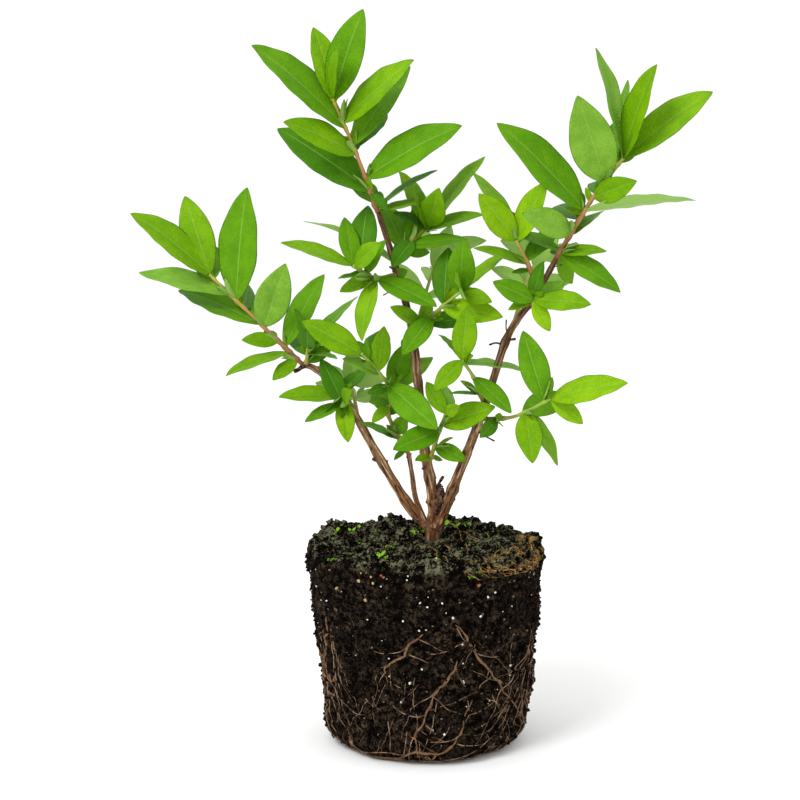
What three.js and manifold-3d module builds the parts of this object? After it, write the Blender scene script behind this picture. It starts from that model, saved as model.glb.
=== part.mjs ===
// A young haskap bush that stands on its bare root ball: millimetres, +Z up, the front looks along +Y.
// The origin is at the middle of the root ball's flat underside.
import * as THREE from 'three';
import { mergeVertices } from 'three/addons/utils/BufferGeometryUtils.js';
import Module from 'manifold-3d';

const wasm = await Module();
wasm.setup();

// Driving sizes of the root ball, as pressed by a pot of about one litre
const BALL_HEIGHT = 106;
const BALL_TOP_RADIUS = 62.5;
const BALL_FOOT_RADIUS = 52;
const BALL_EDGE_ROUND = 11;
const BALL_SIDES = 30;
const TOP_MOUND = 1.5;
const BARE_RING = 18;
const SURFACE_ROOT_RADIUS = 1.5;
const SURFACE_ROOT_STEPS = 5;
const ROOT_END_DEPTH = 2.5;
const ROOT_DEPTH = 0.2;

// The thickest roots that run over the side: clock round the ball from the front, and height, from and to
const SURFACE_ROOTS = [
  { from: [14, 72], to: [74, 14], sway: 4, seed: 3 },
  { from: [12, 50], to: [-6, 8], sway: 6, seed: 5 },
  { from: [-2, 66], to: [-26, 44], sway: 4, seed: 8 },
  { from: [-38, 9], to: [16, 12], sway: 2, seed: 13 },
  { from: [118, 88], to: [160, 20], sway: 7, seed: 17 },
  { from: [-150, 80], to: [-100, 24], sway: 7, seed: 19 },
];

// Driving sizes of the wood
const CLEARANCE = 0.3;
const TRUNK_FOOT = [3, 4];
const TRUNK_HEIGHT = 21;
const TRUNK_FLARE_RADIUS = 5.0;
const TRUNK_NECK_RADIUS = 3.9;
const TRUNK_SIDES = 12;
const STEM_SIDES = 8;
const STEM_STEPS_PER_SPAN = 4;
const TWIG_SIDES = 4;
const TWIG_BASE_RADIUS = 1.3;
const TWIG_TIP_RADIUS = 0.75;

// Driving sizes of the leaves
const LEAF_WIDTH = 0.4;
const SHORT_LEAF = 40;
const SHORT_LEAF_EXTRA_WIDTH = 0.12;
const LEAF_FOLD = 10;
const LEAF_BOW = 8;
const LEAF_STATIONS = [0, 0.3, 0.65, 1];
const PETIOLE_HALF_WIDTH = 0.7;
const LEAF_THICKNESS = 0.7;
const LEAF_THICKNESS_PER_LENGTH = 0.008;
const LEAF_TO_LEAF = 4.5;
const LEAF_TO_LIMB = 2.2;
const SWINGS = [0, 5, -5, 10, -10, 15, -15, 20, -20, 32, -32];

// Each stem: the points that it passes through, then its radius at the foot and at the tip
const STEMS = {
  stem_middle: {
    points: [
      [4, 3, 112], [4, 2, 130], [-1, 0, 160], [-4, -4, 192], [-8, -8, 224], [-15, -10, 252], [-25, -14, 284],
    ],
    radii: [3.5, 1.35],
  },
  stem_right: {
    points: [
      [6, 2, 114], [14, -2, 136], [24, -10, 164], [32.5, -17, 190], [42.5, -23, 222], [55, -28, 241],
      [66, -33, 262],
    ],
    radii: [3.0, 1.4],
  },
  stem_left: {
    points: [[3, 8, 111], [-11, 16, 127], [-27.5, 25, 153], [-45, 35, 182], [-59, 41, 194], [-67, 43, 197]],
    radii: [2.8, 1.5],
  },
  stem_short: {
    points: [[1, 7, 114], [-5, 16, 127], [-7, 22, 138], [-9, 27, 150]],
    radii: [1.6, 1.1],
  },
};

// Dead stubs left where twigs were lost: stem, place along it, clock, lean, length, radius
const STUBS = [
  ['stem_middle', 0.14, 24, 20, 9, 1.5],
  ['stem_right', 0.70, -82, 30, 8, 0.9],
  ['stem_right', 0.72, 20, 30, 8, 0.9],
  ['stem_right', 0.36, 172, 25, 8, 0.9],
  ['stem_left', 0.52, -80, 25, 6, 1.2],
  ['stem_left', 0.94, -120, 20, 7, 1.6],
];

// Each leafy shoot: the stem that carries it and the place along that stem, the points that it passes through
// or how far it bows upwards, the point where it ends, and its leaves. A leaf is its place along the shoot,
// the clock direction in which it points seen from the front, its lean towards the front, its length, and
// how far its face is turned. The three shoots at the back have pairs of leaves made by a seeded rule.
const SHOOTS = {
  leader_left: {
    from: ['stem_left', 1], to: [-118, 60, 244], bow: 0,
    leaves: [
      [1.00, -49, 10, 55, 55], [1.00, -18, -12, 46, 8], [0.69, 6, 8, 63, 25], [0.74, -77, -12, 54, 66],
      [0.44, -71, -32, 60, 58], [0.42, 20, 38, 49, 2], [0.28, -85, 20, 21, 30], [0.30, -60, -20, 13, 50],
      [0.17, -106, 25, 39, 74], [0.08, -128, 30, 19, 35], [0.92, -35, -62, 46, 20],
      [0.62, -2, -74, 38, 60], [0.22, 28, -15, 46, 45],
    ],
  },
  spur_left_knee: {
    from: ['stem_left', 0.92], to: [-63, 34, 208], bow: 0,
    leaves: [
      [0.90, 46, -38, 46, 72], [0.80, 2, 55, 26, 20], [0.20, 58, 35, 17, 15], [0.60, 93, 12, 23, 80],
      [1.00, -20, -25, 22, 50], [0.50, -30, -72, 42, 20], [0.90, 54, 40, 16, 30],
    ],
  },
  spur_left_low: {
    from: ['stem_left', 0.62], to: [-44, 24, 177], bow: 2,
    leaves: [
      [0.60, -88.5, 15, 35, 58], [1.00, -27, -40, 29, 30], [0.80, 30, 30, 21, 40],
      [0.40, 50, -40, 23, 45], [0.90, -113, 10, 23, 60], [0.70, 172, 48, 24, 5], [0.40, 51, 20, 8, 40],
    ],
  },
  leader_middle: {
    from: ['stem_middle', 1], to: [-48, -22, 342], bow: 2,
    leaves: [
      [0.69, -46.8, 15, 65, 58], [0.97, -15, -15, 39, 34], [0.97, 18, 10, 49, 20], [1.00, 8, 24, 33, 62],
      [0.74, 47.5, 20, 51, 48], [0.55, 36, -20, 53, 46], [0.48, -64, 30, 46, 46],
      [0.20, -56, -10, 59, 40], [0.30, 60, 10, 57, 42], [0.22, 5, 30, 11, 40], [0.20, 138, 40, 16, 40],
      [0.10, -42, -55, 28, 30], [0.00, 78, 20, 27, 70], [0.00, 2, -20, 16, 30], [0.92, 14, -70, 42, 60],
      [0.50, -66, -68, 42, 60], [0.52, 40, -70, 42, 50], [0.05, 58, -5, 37, 86],
    ],
  },
  shoot_middle_left: {
    from: ['stem_middle', 0.83], to: [-38, -24, 257], bow: -4,
    leaves: [
      [1.00, -70, 15, 40, 66], [1.00, -10, -30, 28, 25], [0.80, 6, -20, 40, 20], [0.95, 45, 40, 25, 30],
      [0.50, -86, 30, 22, 80], [0.50, -111, 30, 20, 45], [0.45, 113, 30, 38, 45],
      [0.50, -166, 25, 35, 44], [0.70, 30, 15, 22, 40], [0.02, 60, 30, 12, 10],
    ],
  },
  shoot_centre_top: {
    from: ['stem_middle', 0.86], to: [1, -2, 275], bow: 2,
    leaves: [
      [1.00, 13, 48, 36, 5], [0.90, -18, -50, 24, 20], [1.00, -26, -20, 33, 50], [0.95, -19, 10, 34, 65],
      [0.55, 10, -80, 40, 60], [1.00, 38, 10, 48, 72], [0.85, 74, 30, 33, 66], [0.38, 82, 10, 32, 60],
      [0.30, -25, -55, 36, 20], [0.40, 24, -40, 29, 20], [0.80, 5, -62, 40, 20],
      [0.55, -140, 30, 24, 30], [0.95, -64, 20, 21, 60], [0.00, -65.5, -25, 58, 84],
      [0.30, 96, 20, 14, 10],
    ],
  },
  shoot_right_inner: {
    from: ['stem_right', 0.86], to: [45, -34, 271], bow: 2,
    leaves: [
      [1.00, -38, 30, 36, 10], [1.00, -31, -30, 45, 62], [0.95, 24, 20, 36, 40], [0.50, 45, -40, 30, 50],
      [0.45, -72, 10, 30, 70], [0.35, -95, 20, 10, 60], [0.90, -10, -68, 40, 20],
    ],
  },
  spur_right: {
    from: ['stem_right', 0.8], to: [54, -40, 241], bow: 1,
    leaves: [
      [1.00, -64, 20, 25, 10], [1.00, 91, 25, 31, 45], [1.00, 152, 40, 18, 0], [0.80, -110, 30, 14, 50],
      [1.00, 62, 0, 20, 30], [0.70, 14, -15, 22, 40],
    ],
  },
  leader_right: {
    from: ['stem_right', 1], to: [98, -46, 313], bow: 3,
    leaves: [
      [1.00, -15, 5, 57, 66], [1.00, 5, -15, 45, 65], [1.00, 16, 10, 52, 60], [1.00, 51.5, 5, 55, 52],
      [0.70, -21, 38, 59, 0], [0.43, -44.5, -5, 63, 44], [0.50, -15, 20, 8, 30], [0.55, 64, 45, 30, 10],
      [0.42, 82, 15, 57, 112], [0.22, 56, -40, 30, 70], [0.26, -67, 30, 37, 20], [0.40, -70, 20, 9, 40],
      [0.05, 6, -50, 18, 30], [0.07, 86, 10, 24, 60], [0.07, 122, 20, 37, 40], [0.08, -68, -45, 30, 70],
      [0.90, 10, -65, 48, 20], [0.58, 62, -72, 38, 60], [0.35, -60, -75, 40, 50], [0.00, 148, 0, 20, 20],
    ],
  },
  shoot_centre_right: {
    from: ['stem_middle', 0.64], to: [17, -30, 244], bow: 1,
    leaves: [
      [1.00, 2, 35, 35, 10], [0.65, 5, -30, 33, 20], [1.00, -18, 42, 37, 88], [1.00, 52, 15, 35, 70],
      [1.00, 104, 30, 19, 20], [0.62, 97, 25, 34, 25], [0.28, 86, -10, 27, 45], [0.25, -59, 20, 21, 45],
      [0.42, -140, 35, 29, 20], [0.12, -129, 15, 15, 70], [0.25, 18, -30, 16, 30],
    ],
  },
  shoot_centre_low: {
    from: ['stem_right', 0.46], to: [18, -31, 209], bow: 3,
    leaves: [
      [1.00, 5, 0, 31, 0], [0.85, 103, -50, 48, 88], [0.22, -86, 15, 17, 85], [0.50, 130, 30, 29, 42],
      [0.85, -41, -20, 21, 76], [1.00, -134, 30, 23, 20],
    ],
  },
  shoot_inner_left: {
    from: ['stem_short', 1], via: [[-20, 18, 173], [-18.5, 2, 189]], to: [-34, -10, 210],
    leaves: [
      [0.06, -130, 20, 9, 50], [0.14, -64, 10, 25, 76], [0.19, 24, 45, 20, 20], [0.46, -135, 25, 14, 30],
      [0.33, 65, 20, 9, 50], [0.50, -84, 20, 14, 50], [0.45, -40, 20, 8, 30], [0.72, 127, 40, 42, 12],
      [0.68, 22, -30, 28, 5], [0.64, 52, -36, 34, 50], [0.70, -105, 30, 13, 25], [0.80, -65, 20, 23, 60],
      [0.85, -63, 38, 16, 60], [0.82, 8, 20, 25, 5], [1.00, -59, 15, 36, 20], [0.35, -30, -68, 30, 30],
      [0.90, 30, -60, 32, 20],
    ],
  },
  shoot_low_middle: {
    from: ['stem_middle', 0.27], to: [10, -16, 179], bow: 0,
    leaves: [
      [0.22, -93, 40, 12, 50], [0.40, 110, 30, 20, 25], [0.22, 111, 0, 8, 50], [1.00, 50, 55, 16, 20],
      [0.76, 66, 34, 34, 25], [0.66, -105, 36, 31, 25], [0.72, -52, 55, 12, 10], [1.00, -32, -5, 20, 15],
      [1.00, -11, -30, 33, 52],
    ],
  },
  shoot_right_low: {
    from: ['stem_right', 0.41], to: [63, -42, 191], bow: -4,
    leaves: [
      [0.88, -17, -10, 38, 0], [1.00, 74, 25, 43, 46], [1.00, 127, 10, 21, 20], [0.60, 75, -45, 36, 30],
      [0.64, 174, 50, 34, 0], [0.64, 148, -15, 36, 62], [0.28, -130, 40, 17, 0], [0.35, -58, 20, 8, 40],
    ],
  },
  shoot_back_middle: {
    from: ['stem_middle', 0.62], to: [8, 44, 258], bow: 4,
    pairs: 3,
    longest: 32,
    seed: 11,
  },
  shoot_back_right: {
    from: ['stem_right', 0.7], to: [62, 40, 256], bow: 5,
    pairs: 3,
    longest: 31,
    seed: 23,
  },
  shoot_back_left: {
    from: ['stem_left', 0.5], to: [-42, 70, 184], bow: 3,
    pairs: 3,
    longest: 25,
    seed: 41,
  },
};

const COLOURS = { peat: 0x2b2119, bark: 0x6d5238, leaf: 0x6f9a35 };

const vector = list => new THREE.Vector3(...list);
const radians = degrees => (degrees * Math.PI) / 180;

// A small seeded generator that gives numbers from 0 to 1
function seeded(seed) {
  let state = seed;
  return () => {
    state = (state * 1664525 + 1013904223) % 4294967296;
    return state / 4294967296;
  };
}

// A smooth path through a few points, from 0 at its first point to 1 at its last
function pointOn(path, along) {
  const last = path.length - 1;
  const spot = Math.min(Math.max(along, 0), 1) * last;
  const first = Math.min(Math.floor(spot), last - 1);
  const u = spot - first;
  const before = path[Math.max(first - 1, 0)];
  const start = path[first];
  const end = path[first + 1];
  const after = path[Math.min(first + 2, last)];
  const blend = (a, b, c, d) => 0.5 * (2 * b + (c - a) * u + (2 * a - 5 * b + 4 * c - d) * u * u
    + (3 * b - a - 3 * c + d) * u * u * u);
  return new THREE.Vector3(
    blend(before.x, start.x, end.x, after.x),
    blend(before.y, start.y, end.y, after.y),
    blend(before.z, start.z, end.z, after.z),
  );
}

function directionOn(path, along) {
  const low = Math.max(along - 0.02, 0);
  const high = Math.min(along + 0.02, 1);
  return pointOn(path, high).sub(pointOn(path, low)).normalize();
}

// A closed solid from a geometry, with its doubled vertices merged and its empty faces left out
function solidOf(geometry) {
  const bare = new THREE.BufferGeometry();
  bare.setAttribute('position', geometry.getAttribute('position'));
  bare.setIndex(geometry.getIndex());
  const merged = mergeVertices(bare, 1e-4);
  const index = merged.getIndex().array;
  const faces = [];
  for (let i = 0; i < index.length; i += 3) {
    const [a, b, c] = [index[i], index[i + 1], index[i + 2]];
    if (a !== b && b !== c && c !== a) faces.push(a, b, c);
  }
  const vertProperties = new Float32Array(merged.getAttribute('position').array);
  return new wasm.Manifold(new wasm.Mesh({ numProp: 3, vertProperties, triVerts: new Uint32Array(faces) }));
}

// Moves every vertex of a geometry that stands on the Y axis to the place that a rule gives it
function bend(geometry, place) {
  const position = geometry.getAttribute('position');
  for (let i = 0; i < position.count; i += 1) {
    const moved = place(position.getX(i), position.getY(i) + 0.5, position.getZ(i));
    position.setXYZ(i, moved.x, moved.y, moved.z);
  }
  return geometry;
}

// A tapering limb along a path, with a rule for its radius
function limb(path, radiusAt, sides, steps) {
  const whole = path[path.length - 1].clone().sub(path[0]).normalize();
  const reference = Math.abs(whole.y) > 0.7 ? new THREE.Vector3(1, 0, 0) : new THREE.Vector3(0, 1, 0);
  const place = (x, along, z) => {
    const tangent = directionOn(path, along);
    const side = tangent.clone().cross(reference).normalize();
    const out = side.clone().cross(tangent);
    const radius = radiusAt(along);
    return pointOn(path, along).addScaledVector(side, x * radius).addScaledVector(out, z * radius);
  };
  return solidOf(bend(new THREE.CylinderGeometry(1, 1, 1, sides, steps), place));
}

const joined = solids => solids.reduce((all, next) => all.add(next));

const larger = (a, b) => (b.volume() > a.volume() ? b : a);
const largest = solid => solid.decompose().reduce(larger);

function meshOf(name, solid, colour, roughness) {
  const { vertProperties, triVerts } = solid.getMesh();
  const geometry = new THREE.BufferGeometry();
  geometry.setAttribute('position', new THREE.BufferAttribute(vertProperties, 3));
  geometry.setIndex(new THREE.BufferAttribute(triVerts, 1));
  const material = new THREE.MeshStandardMaterial({ color: colour, roughness, metalness: 0 });
  const mesh = new THREE.Mesh(geometry, material);
  mesh.name = name;
  return mesh;
}

// The root ball: a tapered plug of peat with a crumbly top, a rounded foot and a flat underside
function ballRadius(height) {
  return BALL_FOOT_RADIUS + ((BALL_TOP_RADIUS - BALL_FOOT_RADIUS) * height) / BALL_HEIGHT;
}

function ballLump(angle, height) {
  return 0.9 * Math.sin(3 * angle + 0.05 * height + 1) + 0.6 * Math.sin(7 * angle - 0.11 * height)
    + 0.4 * Math.sin(12 * angle + 0.19 * height + 2);
}

function topMound(x, y) {
  const away = Math.hypot(x - TRUNK_FOOT[0], y - TRUNK_FOOT[1]) - BARE_RING;
  const rise = THREE.MathUtils.smoothstep(away, 0, 12);
  const waves = Math.sin(0.13 * x + 1) * Math.cos(0.11 * y) + 0.7 * Math.sin(0.29 * x - 0.23 * y + 2)
    + 0.5 * Math.sin(0.37 * x + 0.41 * y);
  return rise * TOP_MOUND * (waves + 0.02 * y + 0.6);
}

function rootBall() {
  const profile = [[0, 0], [0.55 * BALL_FOOT_RADIUS, 0], [BALL_FOOT_RADIUS - BALL_EDGE_ROUND, 0]];
  profile.push([BALL_FOOT_RADIUS - 0.35 * BALL_EDGE_ROUND, 0.3 * BALL_EDGE_ROUND]);
  for (const share of [0.1, 0.25, 0.4, 0.55, 0.7, 0.85]) {
    profile.push([ballRadius(share * BALL_HEIGHT), share * BALL_HEIGHT]);
  }
  profile.push([BALL_TOP_RADIUS - 0.6, BALL_HEIGHT - 4], [BALL_TOP_RADIUS - 3.5, BALL_HEIGHT]);
  for (const share of [0.8, 0.62, 0.45, 0.3, 0.2, 0]) {
    profile.push([share * BALL_TOP_RADIUS, BALL_HEIGHT]);
  }
  const lathe = new THREE.LatheGeometry(profile.map(([r, h]) => new THREE.Vector2(r, h)), BALL_SIDES);
  const position = lathe.getAttribute('position');
  for (let i = 0; i < position.count; i += 1) {
    const [x, height, z] = [position.getX(i), position.getY(i), position.getZ(i)];
    const radius = Math.hypot(x, z);
    const angle = Math.atan2(x, z);
    const onSide = height > 0 && radius > 0.9 * ballRadius(height);
    const grown = onSide ? 1 + ballLump(angle, height) / radius : 1;
    const raised = height > BALL_HEIGHT - 5 ? topMound(x, -z) : 0;
    position.setXYZ(i, x * grown, -z * grown, height + raised);
  }
  return joined([solidOf(lathe), ...SURFACE_ROOTS.map(surfaceRoot)]);
}

function surfaceRoot({ from, to, sway, seed }) {
  const draw = seeded(seed);
  const path = [];
  for (let i = 0; i <= SURFACE_ROOT_STEPS; i += 1) {
    const share = i / SURFACE_ROOT_STEPS;
    const between = i % SURFACE_ROOT_STEPS !== 0;
    const height = from[1] + (to[1] - from[1]) * share + (between ? sway * (draw() - 0.5) : 0);
    const clock = radians(from[0] + (to[0] - from[0]) * share + (between ? sway * (draw() - 0.5) : 0));
    const reach = ballRadius(height) + ballLump(clock, height) - (between ? ROOT_DEPTH : ROOT_END_DEPTH);
    path.push(new THREE.Vector3(reach * Math.sin(clock), -reach * Math.cos(clock), height));
  }
  return limb(path, along => SURFACE_ROOT_RADIUS * (1 - 0.5 * along), TWIG_SIDES, 8);
}

// The trunk: a short flared foot from its level cut on the soil to the fork
function trunk(extra) {
  const [x, y] = TRUNK_FOOT;
  const foot = new THREE.Vector3(x, y, BALL_HEIGHT - 2);
  const top = new THREE.Vector3(x + 1, y - 1, BALL_HEIGHT + TRUNK_HEIGHT + extra);
  const middle = foot.clone().lerp(top, 0.5);
  const radiusAt = along => extra + TRUNK_NECK_RADIUS
    + (TRUNK_FLARE_RADIUS - TRUNK_NECK_RADIUS) * Math.pow(1 - along, 3);
  const soil = new THREE.BoxGeometry(60, 60, 20);
  soil.translate(x, y, BALL_HEIGHT + CLEARANCE - 10);
  return limb([foot, middle, top], radiusAt, TRUNK_SIDES, 6).subtract(solidOf(soil));
}

const stemPaths = Object.fromEntries(
  Object.entries(STEMS).map(([name, { points }]) => [name, points.map(vector)]),
);

function stemRadius(name, along) {
  const [foot, tip] = STEMS[name].radii;
  return foot + (tip - foot) * along;
}

function stem(name, extra) {
  const path = stemPaths[name];
  const radiusAt = along => extra + stemRadius(name, along);
  const body = limb(path, radiusAt, STEM_SIDES, STEM_STEPS_PER_SPAN * (path.length - 1));
  const stubs = STUBS.filter(([carrier]) => carrier === name).map(stub => {
    const [, along, clock, lean, length, radius] = stub;
    const foot = pointOn(path, along);
    const tip = foot.clone().addScaledVector(pointing(clock, lean), length);
    const taper = share => extra + radius * (1 - 0.35 * share);
    return limb([foot, foot.clone().lerp(tip, 0.5), tip], taper, TWIG_SIDES, 2);
  });
  return joined([body, ...stubs]);
}

// The direction that a clock angle and a lean towards the front give
function pointing(clock, lean) {
  const [turn, tip] = [radians(clock), radians(lean)];
  return new THREE.Vector3(Math.sin(turn) * Math.cos(tip), -Math.sin(tip), Math.cos(turn) * Math.cos(tip));
}

// A leaf's three axes: along it, across it, and out of its upper face
function leafAxes(clock, lean, turned) {
  const ahead = pointing(clock, lean);
  const front = new THREE.Vector3(0, -1, 0);
  const facing = front.addScaledVector(ahead, -front.dot(ahead)).normalize();
  const inward = ahead.clone().cross(facing).multiplyScalar(clock < 0 ? 1 : -1);
  const turn = radians(turned);
  const face = facing.multiplyScalar(Math.cos(turn)).addScaledVector(inward, Math.sin(turn));
  return { ahead, face };
}

function leafHalfWidth(share, length) {
  const widest = length * (LEAF_WIDTH + SHORT_LEAF_EXTRA_WIDTH * Math.max(0, 1 - length / SHORT_LEAF));
  const blade = 0.5 * widest * Math.pow(Math.max(Math.sin(Math.PI * Math.pow(share, 0.92)), 0), 0.75);
  return Math.max(blade, PETIOLE_HALF_WIDTH * (1 - share));
}

// A point of a leaf: its share of the length, and how far it lies across the blade and above it
function leafPoint(leaf, share, across, above) {
  const bow = radians(LEAF_BOW);
  const angle = bow * (0.5 - share);
  const ahead = (Math.sin(bow / 2) - Math.sin(angle)) / bow;
  const raised = (Math.cos(angle) - Math.cos(bow / 2)) / bow;
  const side = leaf.face.clone().cross(leaf.ahead).multiplyScalar(-1);
  const normal = leaf.face.clone().multiplyScalar(Math.cos(angle));
  normal.addScaledVector(leaf.ahead, -Math.sin(angle));
  return leaf.base.clone()
    .addScaledVector(leaf.ahead, leaf.length * ahead)
    .addScaledVector(leaf.face, leaf.length * raised)
    .addScaledVector(side, across * Math.cos(radians(LEAF_FOLD)))
    .addScaledVector(normal, Math.abs(across) * Math.sin(radians(LEAF_FOLD)) + above);
}

function leafSolid(leaf) {
  const thickness = LEAF_THICKNESS + LEAF_THICKNESS_PER_LENGTH * leaf.length;
  const steps = LEAF_STATIONS.length - 1;
  const place = (x, along, z) => {
    const share = LEAF_STATIONS[Math.round(along * steps)];
    const half = share < 1 ? leafHalfWidth(share, leaf.length) : 0;
    const across = Math.abs(x) > 1e-6 ? Math.sign(x) * half : 0;
    const above = Math.abs(z) > 1e-6 && share < 1 ? (Math.sign(z) * thickness) / 2 : 0;
    return leafPoint(leaf, share, across, above);
  };
  const cone = new THREE.ConeGeometry(1, 1, 4, steps);
  const position = cone.getAttribute('position');
  for (let i = 0; i < position.count; i += 1) {
    const [x, z] = [position.getX(i), position.getZ(i)];
    position.setX(i, Math.abs(x) > Math.abs(z) ? Math.sign(x) : 0);
    position.setZ(i, Math.abs(z) > Math.abs(x) ? Math.sign(z) : 0);
  }
  return solidOf(bend(cone, place));
}

// The leaves of a shoot that has none listed: opposite pairs, each a quarter turn on from the last
function pairedLeaves(shoot, path) {
  const draw = seeded(shoot.seed);
  const leaves = [];
  for (let pair = 0; pair < shoot.pairs; pair += 1) {
    const at = 1 - pair / (shoot.pairs + 0.5);
    const ahead = directionOn(path, at);
    const sideways = ahead.clone().cross(new THREE.Vector3(0, 0, 1)).normalize();
    const quarter = radians(90 * pair + 30 * draw());
    for (const opposite of [0, Math.PI]) {
      const out = sideways.clone().applyAxisAngle(ahead, quarter + opposite);
      const open = radians(50 + 20 * draw());
      const length = shoot.longest * (0.75 + 0.25 * draw());
      const direction = ahead.clone().multiplyScalar(Math.cos(open)).addScaledVector(out, Math.sin(open));
      const face = ahead.clone().addScaledVector(direction, -ahead.dot(direction)).normalize();
      leaves.push({ at, length, ahead: direction, face });
    }
  }
  return leaves;
}

const SAMPLES = [[0.2, 0], [0.35, -1], [0.35, 1], [0.5, 0], [0.65, -1], [0.65, 1], [0.8, 0], [1, 0]];
const samplesOf = leaf => SAMPLES.map(([share, side]) => (
  leafPoint(leaf, share, 0.8 * side * leafHalfWidth(share, leaf.length), 0)));

// How far a leaf's points stay from the leaves and the limbs that are already there
function roomAround(points, leaves, limbs) {
  let room = 100;
  for (const other of leaves) {
    if (other.centre.distanceTo(points[3]) < 60) {
      for (const point of points) {
        for (const taken of other.points) room = Math.min(room, point.distanceTo(taken) - LEAF_TO_LEAF);
      }
    }
  }
  for (const { line, radius } of limbs) {
    for (const point of points.slice(1)) {
      for (const spot of line) room = Math.min(room, point.distanceTo(spot) - radius - LEAF_TO_LIMB);
    }
  }
  return room;
}

// The path of a shoot, from the middle of its stem to its tip
function shootPath({ from, via, to, bow }) {
  const [carrier, along] = from;
  const start = pointOn(stemPaths[carrier], along);
  const tip = vector(to);
  if (via) return [start, ...via.map(vector), tip];
  const middle = start.clone().lerp(tip, 0.5);
  middle.z += bow;
  return [start, middle, tip];
}

const lineOf = (path, steps, radius) => ({
  line: Array.from({ length: steps + 1 }, (unused, i) => pointOn(path, i / steps)),
  radius,
});

// Every leaf's place: it swings to and fro in its lean until it has room
function placedLeaves() {
  const stemLine = ([name, path]) => lineOf(path, 40, STEMS[name].radii[0] * 0.8);
  const limbs = Object.entries(stemPaths).map(stemLine);
  const paths = Object.fromEntries(Object.entries(SHOOTS).map(([name, shoot]) => [name, shootPath(shoot)]));
  for (const path of Object.values(paths)) limbs.push(lineOf(path, 12, TWIG_BASE_RADIUS));
  const taken = [];
  const byShoot = {};
  for (const [name, shoot] of Object.entries(SHOOTS)) {
    const path = paths[name];
    byShoot[name] = [];
    const wanted = shoot.leaves || pairedLeaves(shoot, path);
    for (const row of wanted) {
      let best = null;
      for (const swing of SWINGS) {
        const leaf = shoot.leaves
          ? { at: row[0], length: row[3], ...leafAxes(row[1], row[2] + swing, row[4]) }
          : { ...row, ...swungAxes(row, swing) };
        leaf.base = pointOn(path, leaf.at);
        const points = samplesOf(leaf);
        const room = roomAround(points, taken, limbs);
        if (best === null || room > best.room + 1e-9) best = { room, leaf, points };
        if (room > 0) break;
      }
      taken.push({ points: best.points, centre: best.points[3] });
      byShoot[name].push(best.leaf);
    }
  }
  return { byShoot, paths };
}

function swungAxes({ ahead, face }, swing) {
  const across = ahead.clone().cross(face);
  return {
    ahead: ahead.clone().applyAxisAngle(across, radians(swing)),
    face: face.clone().applyAxisAngle(across, radians(swing)),
  };
}

function overlaps(a, b) {
  const [boxA, boxB] = [a.boundingBox(), b.boundingBox()];
  const past = (low, high, i) => low.min[i] > high.max[i] + CLEARANCE;
  const apart = [0, 1, 2].some(i => past(boxA, boxB, i) || past(boxB, boxA, i));
  return !apart && a.minGap(b, 2 * CLEARANCE) < CLEARANCE;
}

// The finished assembly
const haskap = new THREE.Group();
const ball = rootBall();
haskap.add(meshOf('root_ball', ball, COLOURS.peat, 0.95));
haskap.add(meshOf('trunk', trunk(0), COLOURS.bark, 0.85));

const wood = [trunk(0)];
const keepOut = [trunk(CLEARANCE)];
for (const name of Object.keys(STEMS)) {
  const body = largest(stem(name, 0).subtract(joined(keepOut)));
  wood.push(body);
  keepOut.push(stem(name, CLEARANCE));
  haskap.add(meshOf(name, body, COLOURS.bark, 0.85));
}

const { byShoot, paths } = placedLeaves();
const woodSpace = joined(keepOut);
const twigRadius = along => TWIG_BASE_RADIUS + (TWIG_TIP_RADIUS - TWIG_BASE_RADIUS) * along;
const twigOf = (name, extra) => limb(paths[name], along => extra + twigRadius(along), TWIG_SIDES, 4);
const twigs = Object.fromEntries(Object.keys(SHOOTS).map(name => [name, twigOf(name, 0)]));
const masses = [];
for (const name of Object.keys(SHOOTS)) {
  const twig = largest(twigs[name].subtract(woodSpace));
  const others = Object.keys(SHOOTS).filter(other => other !== name).map(other => twigs[other]);
  const inTheWay = [...wood, ball, ...others, ...masses];
  const leaves = byShoot[name].map(leafSolid);
  const kept = leaves.filter(leaf => !inTheWay.some(other => overlaps(leaf, other)));
  const mass = largest(joined([twig, ...kept]));
  masses.push(mass);
  haskap.add(meshOf(name, mass, COLOURS.leaf, 0.6));
}

export default haskap;
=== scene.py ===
"""A young haskap bush on its bare root ball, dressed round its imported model. Lengths are in millimetres."""
import math
from functools import partial

import bmesh
import bpy
from bpy.props import FloatProperty, FloatVectorProperty, IntProperty, PointerProperty
from mathutils import Matrix, Vector, noise


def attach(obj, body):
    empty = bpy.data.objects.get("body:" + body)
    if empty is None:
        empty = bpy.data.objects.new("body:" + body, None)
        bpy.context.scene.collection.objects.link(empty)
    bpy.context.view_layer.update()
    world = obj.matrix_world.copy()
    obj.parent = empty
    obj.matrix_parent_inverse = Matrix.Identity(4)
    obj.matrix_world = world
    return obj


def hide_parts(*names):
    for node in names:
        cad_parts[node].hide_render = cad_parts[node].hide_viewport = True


bl_info = {
    "name": "Haskap Bush",
    "version": (1, 0, 0),
    "blender": (4, 5, 0),
    "location": "View3D > Sidebar > Haskap",
    "description": "Grows bark, leaves, peat and roots round the model of a young haskap bush",
    "category": "Object",
}

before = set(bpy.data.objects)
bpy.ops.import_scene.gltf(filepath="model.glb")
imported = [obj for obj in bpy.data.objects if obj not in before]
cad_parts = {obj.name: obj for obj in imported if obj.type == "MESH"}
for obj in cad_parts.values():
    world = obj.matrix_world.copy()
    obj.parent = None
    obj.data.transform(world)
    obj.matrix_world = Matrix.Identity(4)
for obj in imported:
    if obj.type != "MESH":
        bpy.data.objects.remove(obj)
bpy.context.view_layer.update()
METRES = 0.001
ABOUT_A_TURN = 6.28
MAP_NAME = "OFBake"
RELIEF_NAME = "relief"

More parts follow.
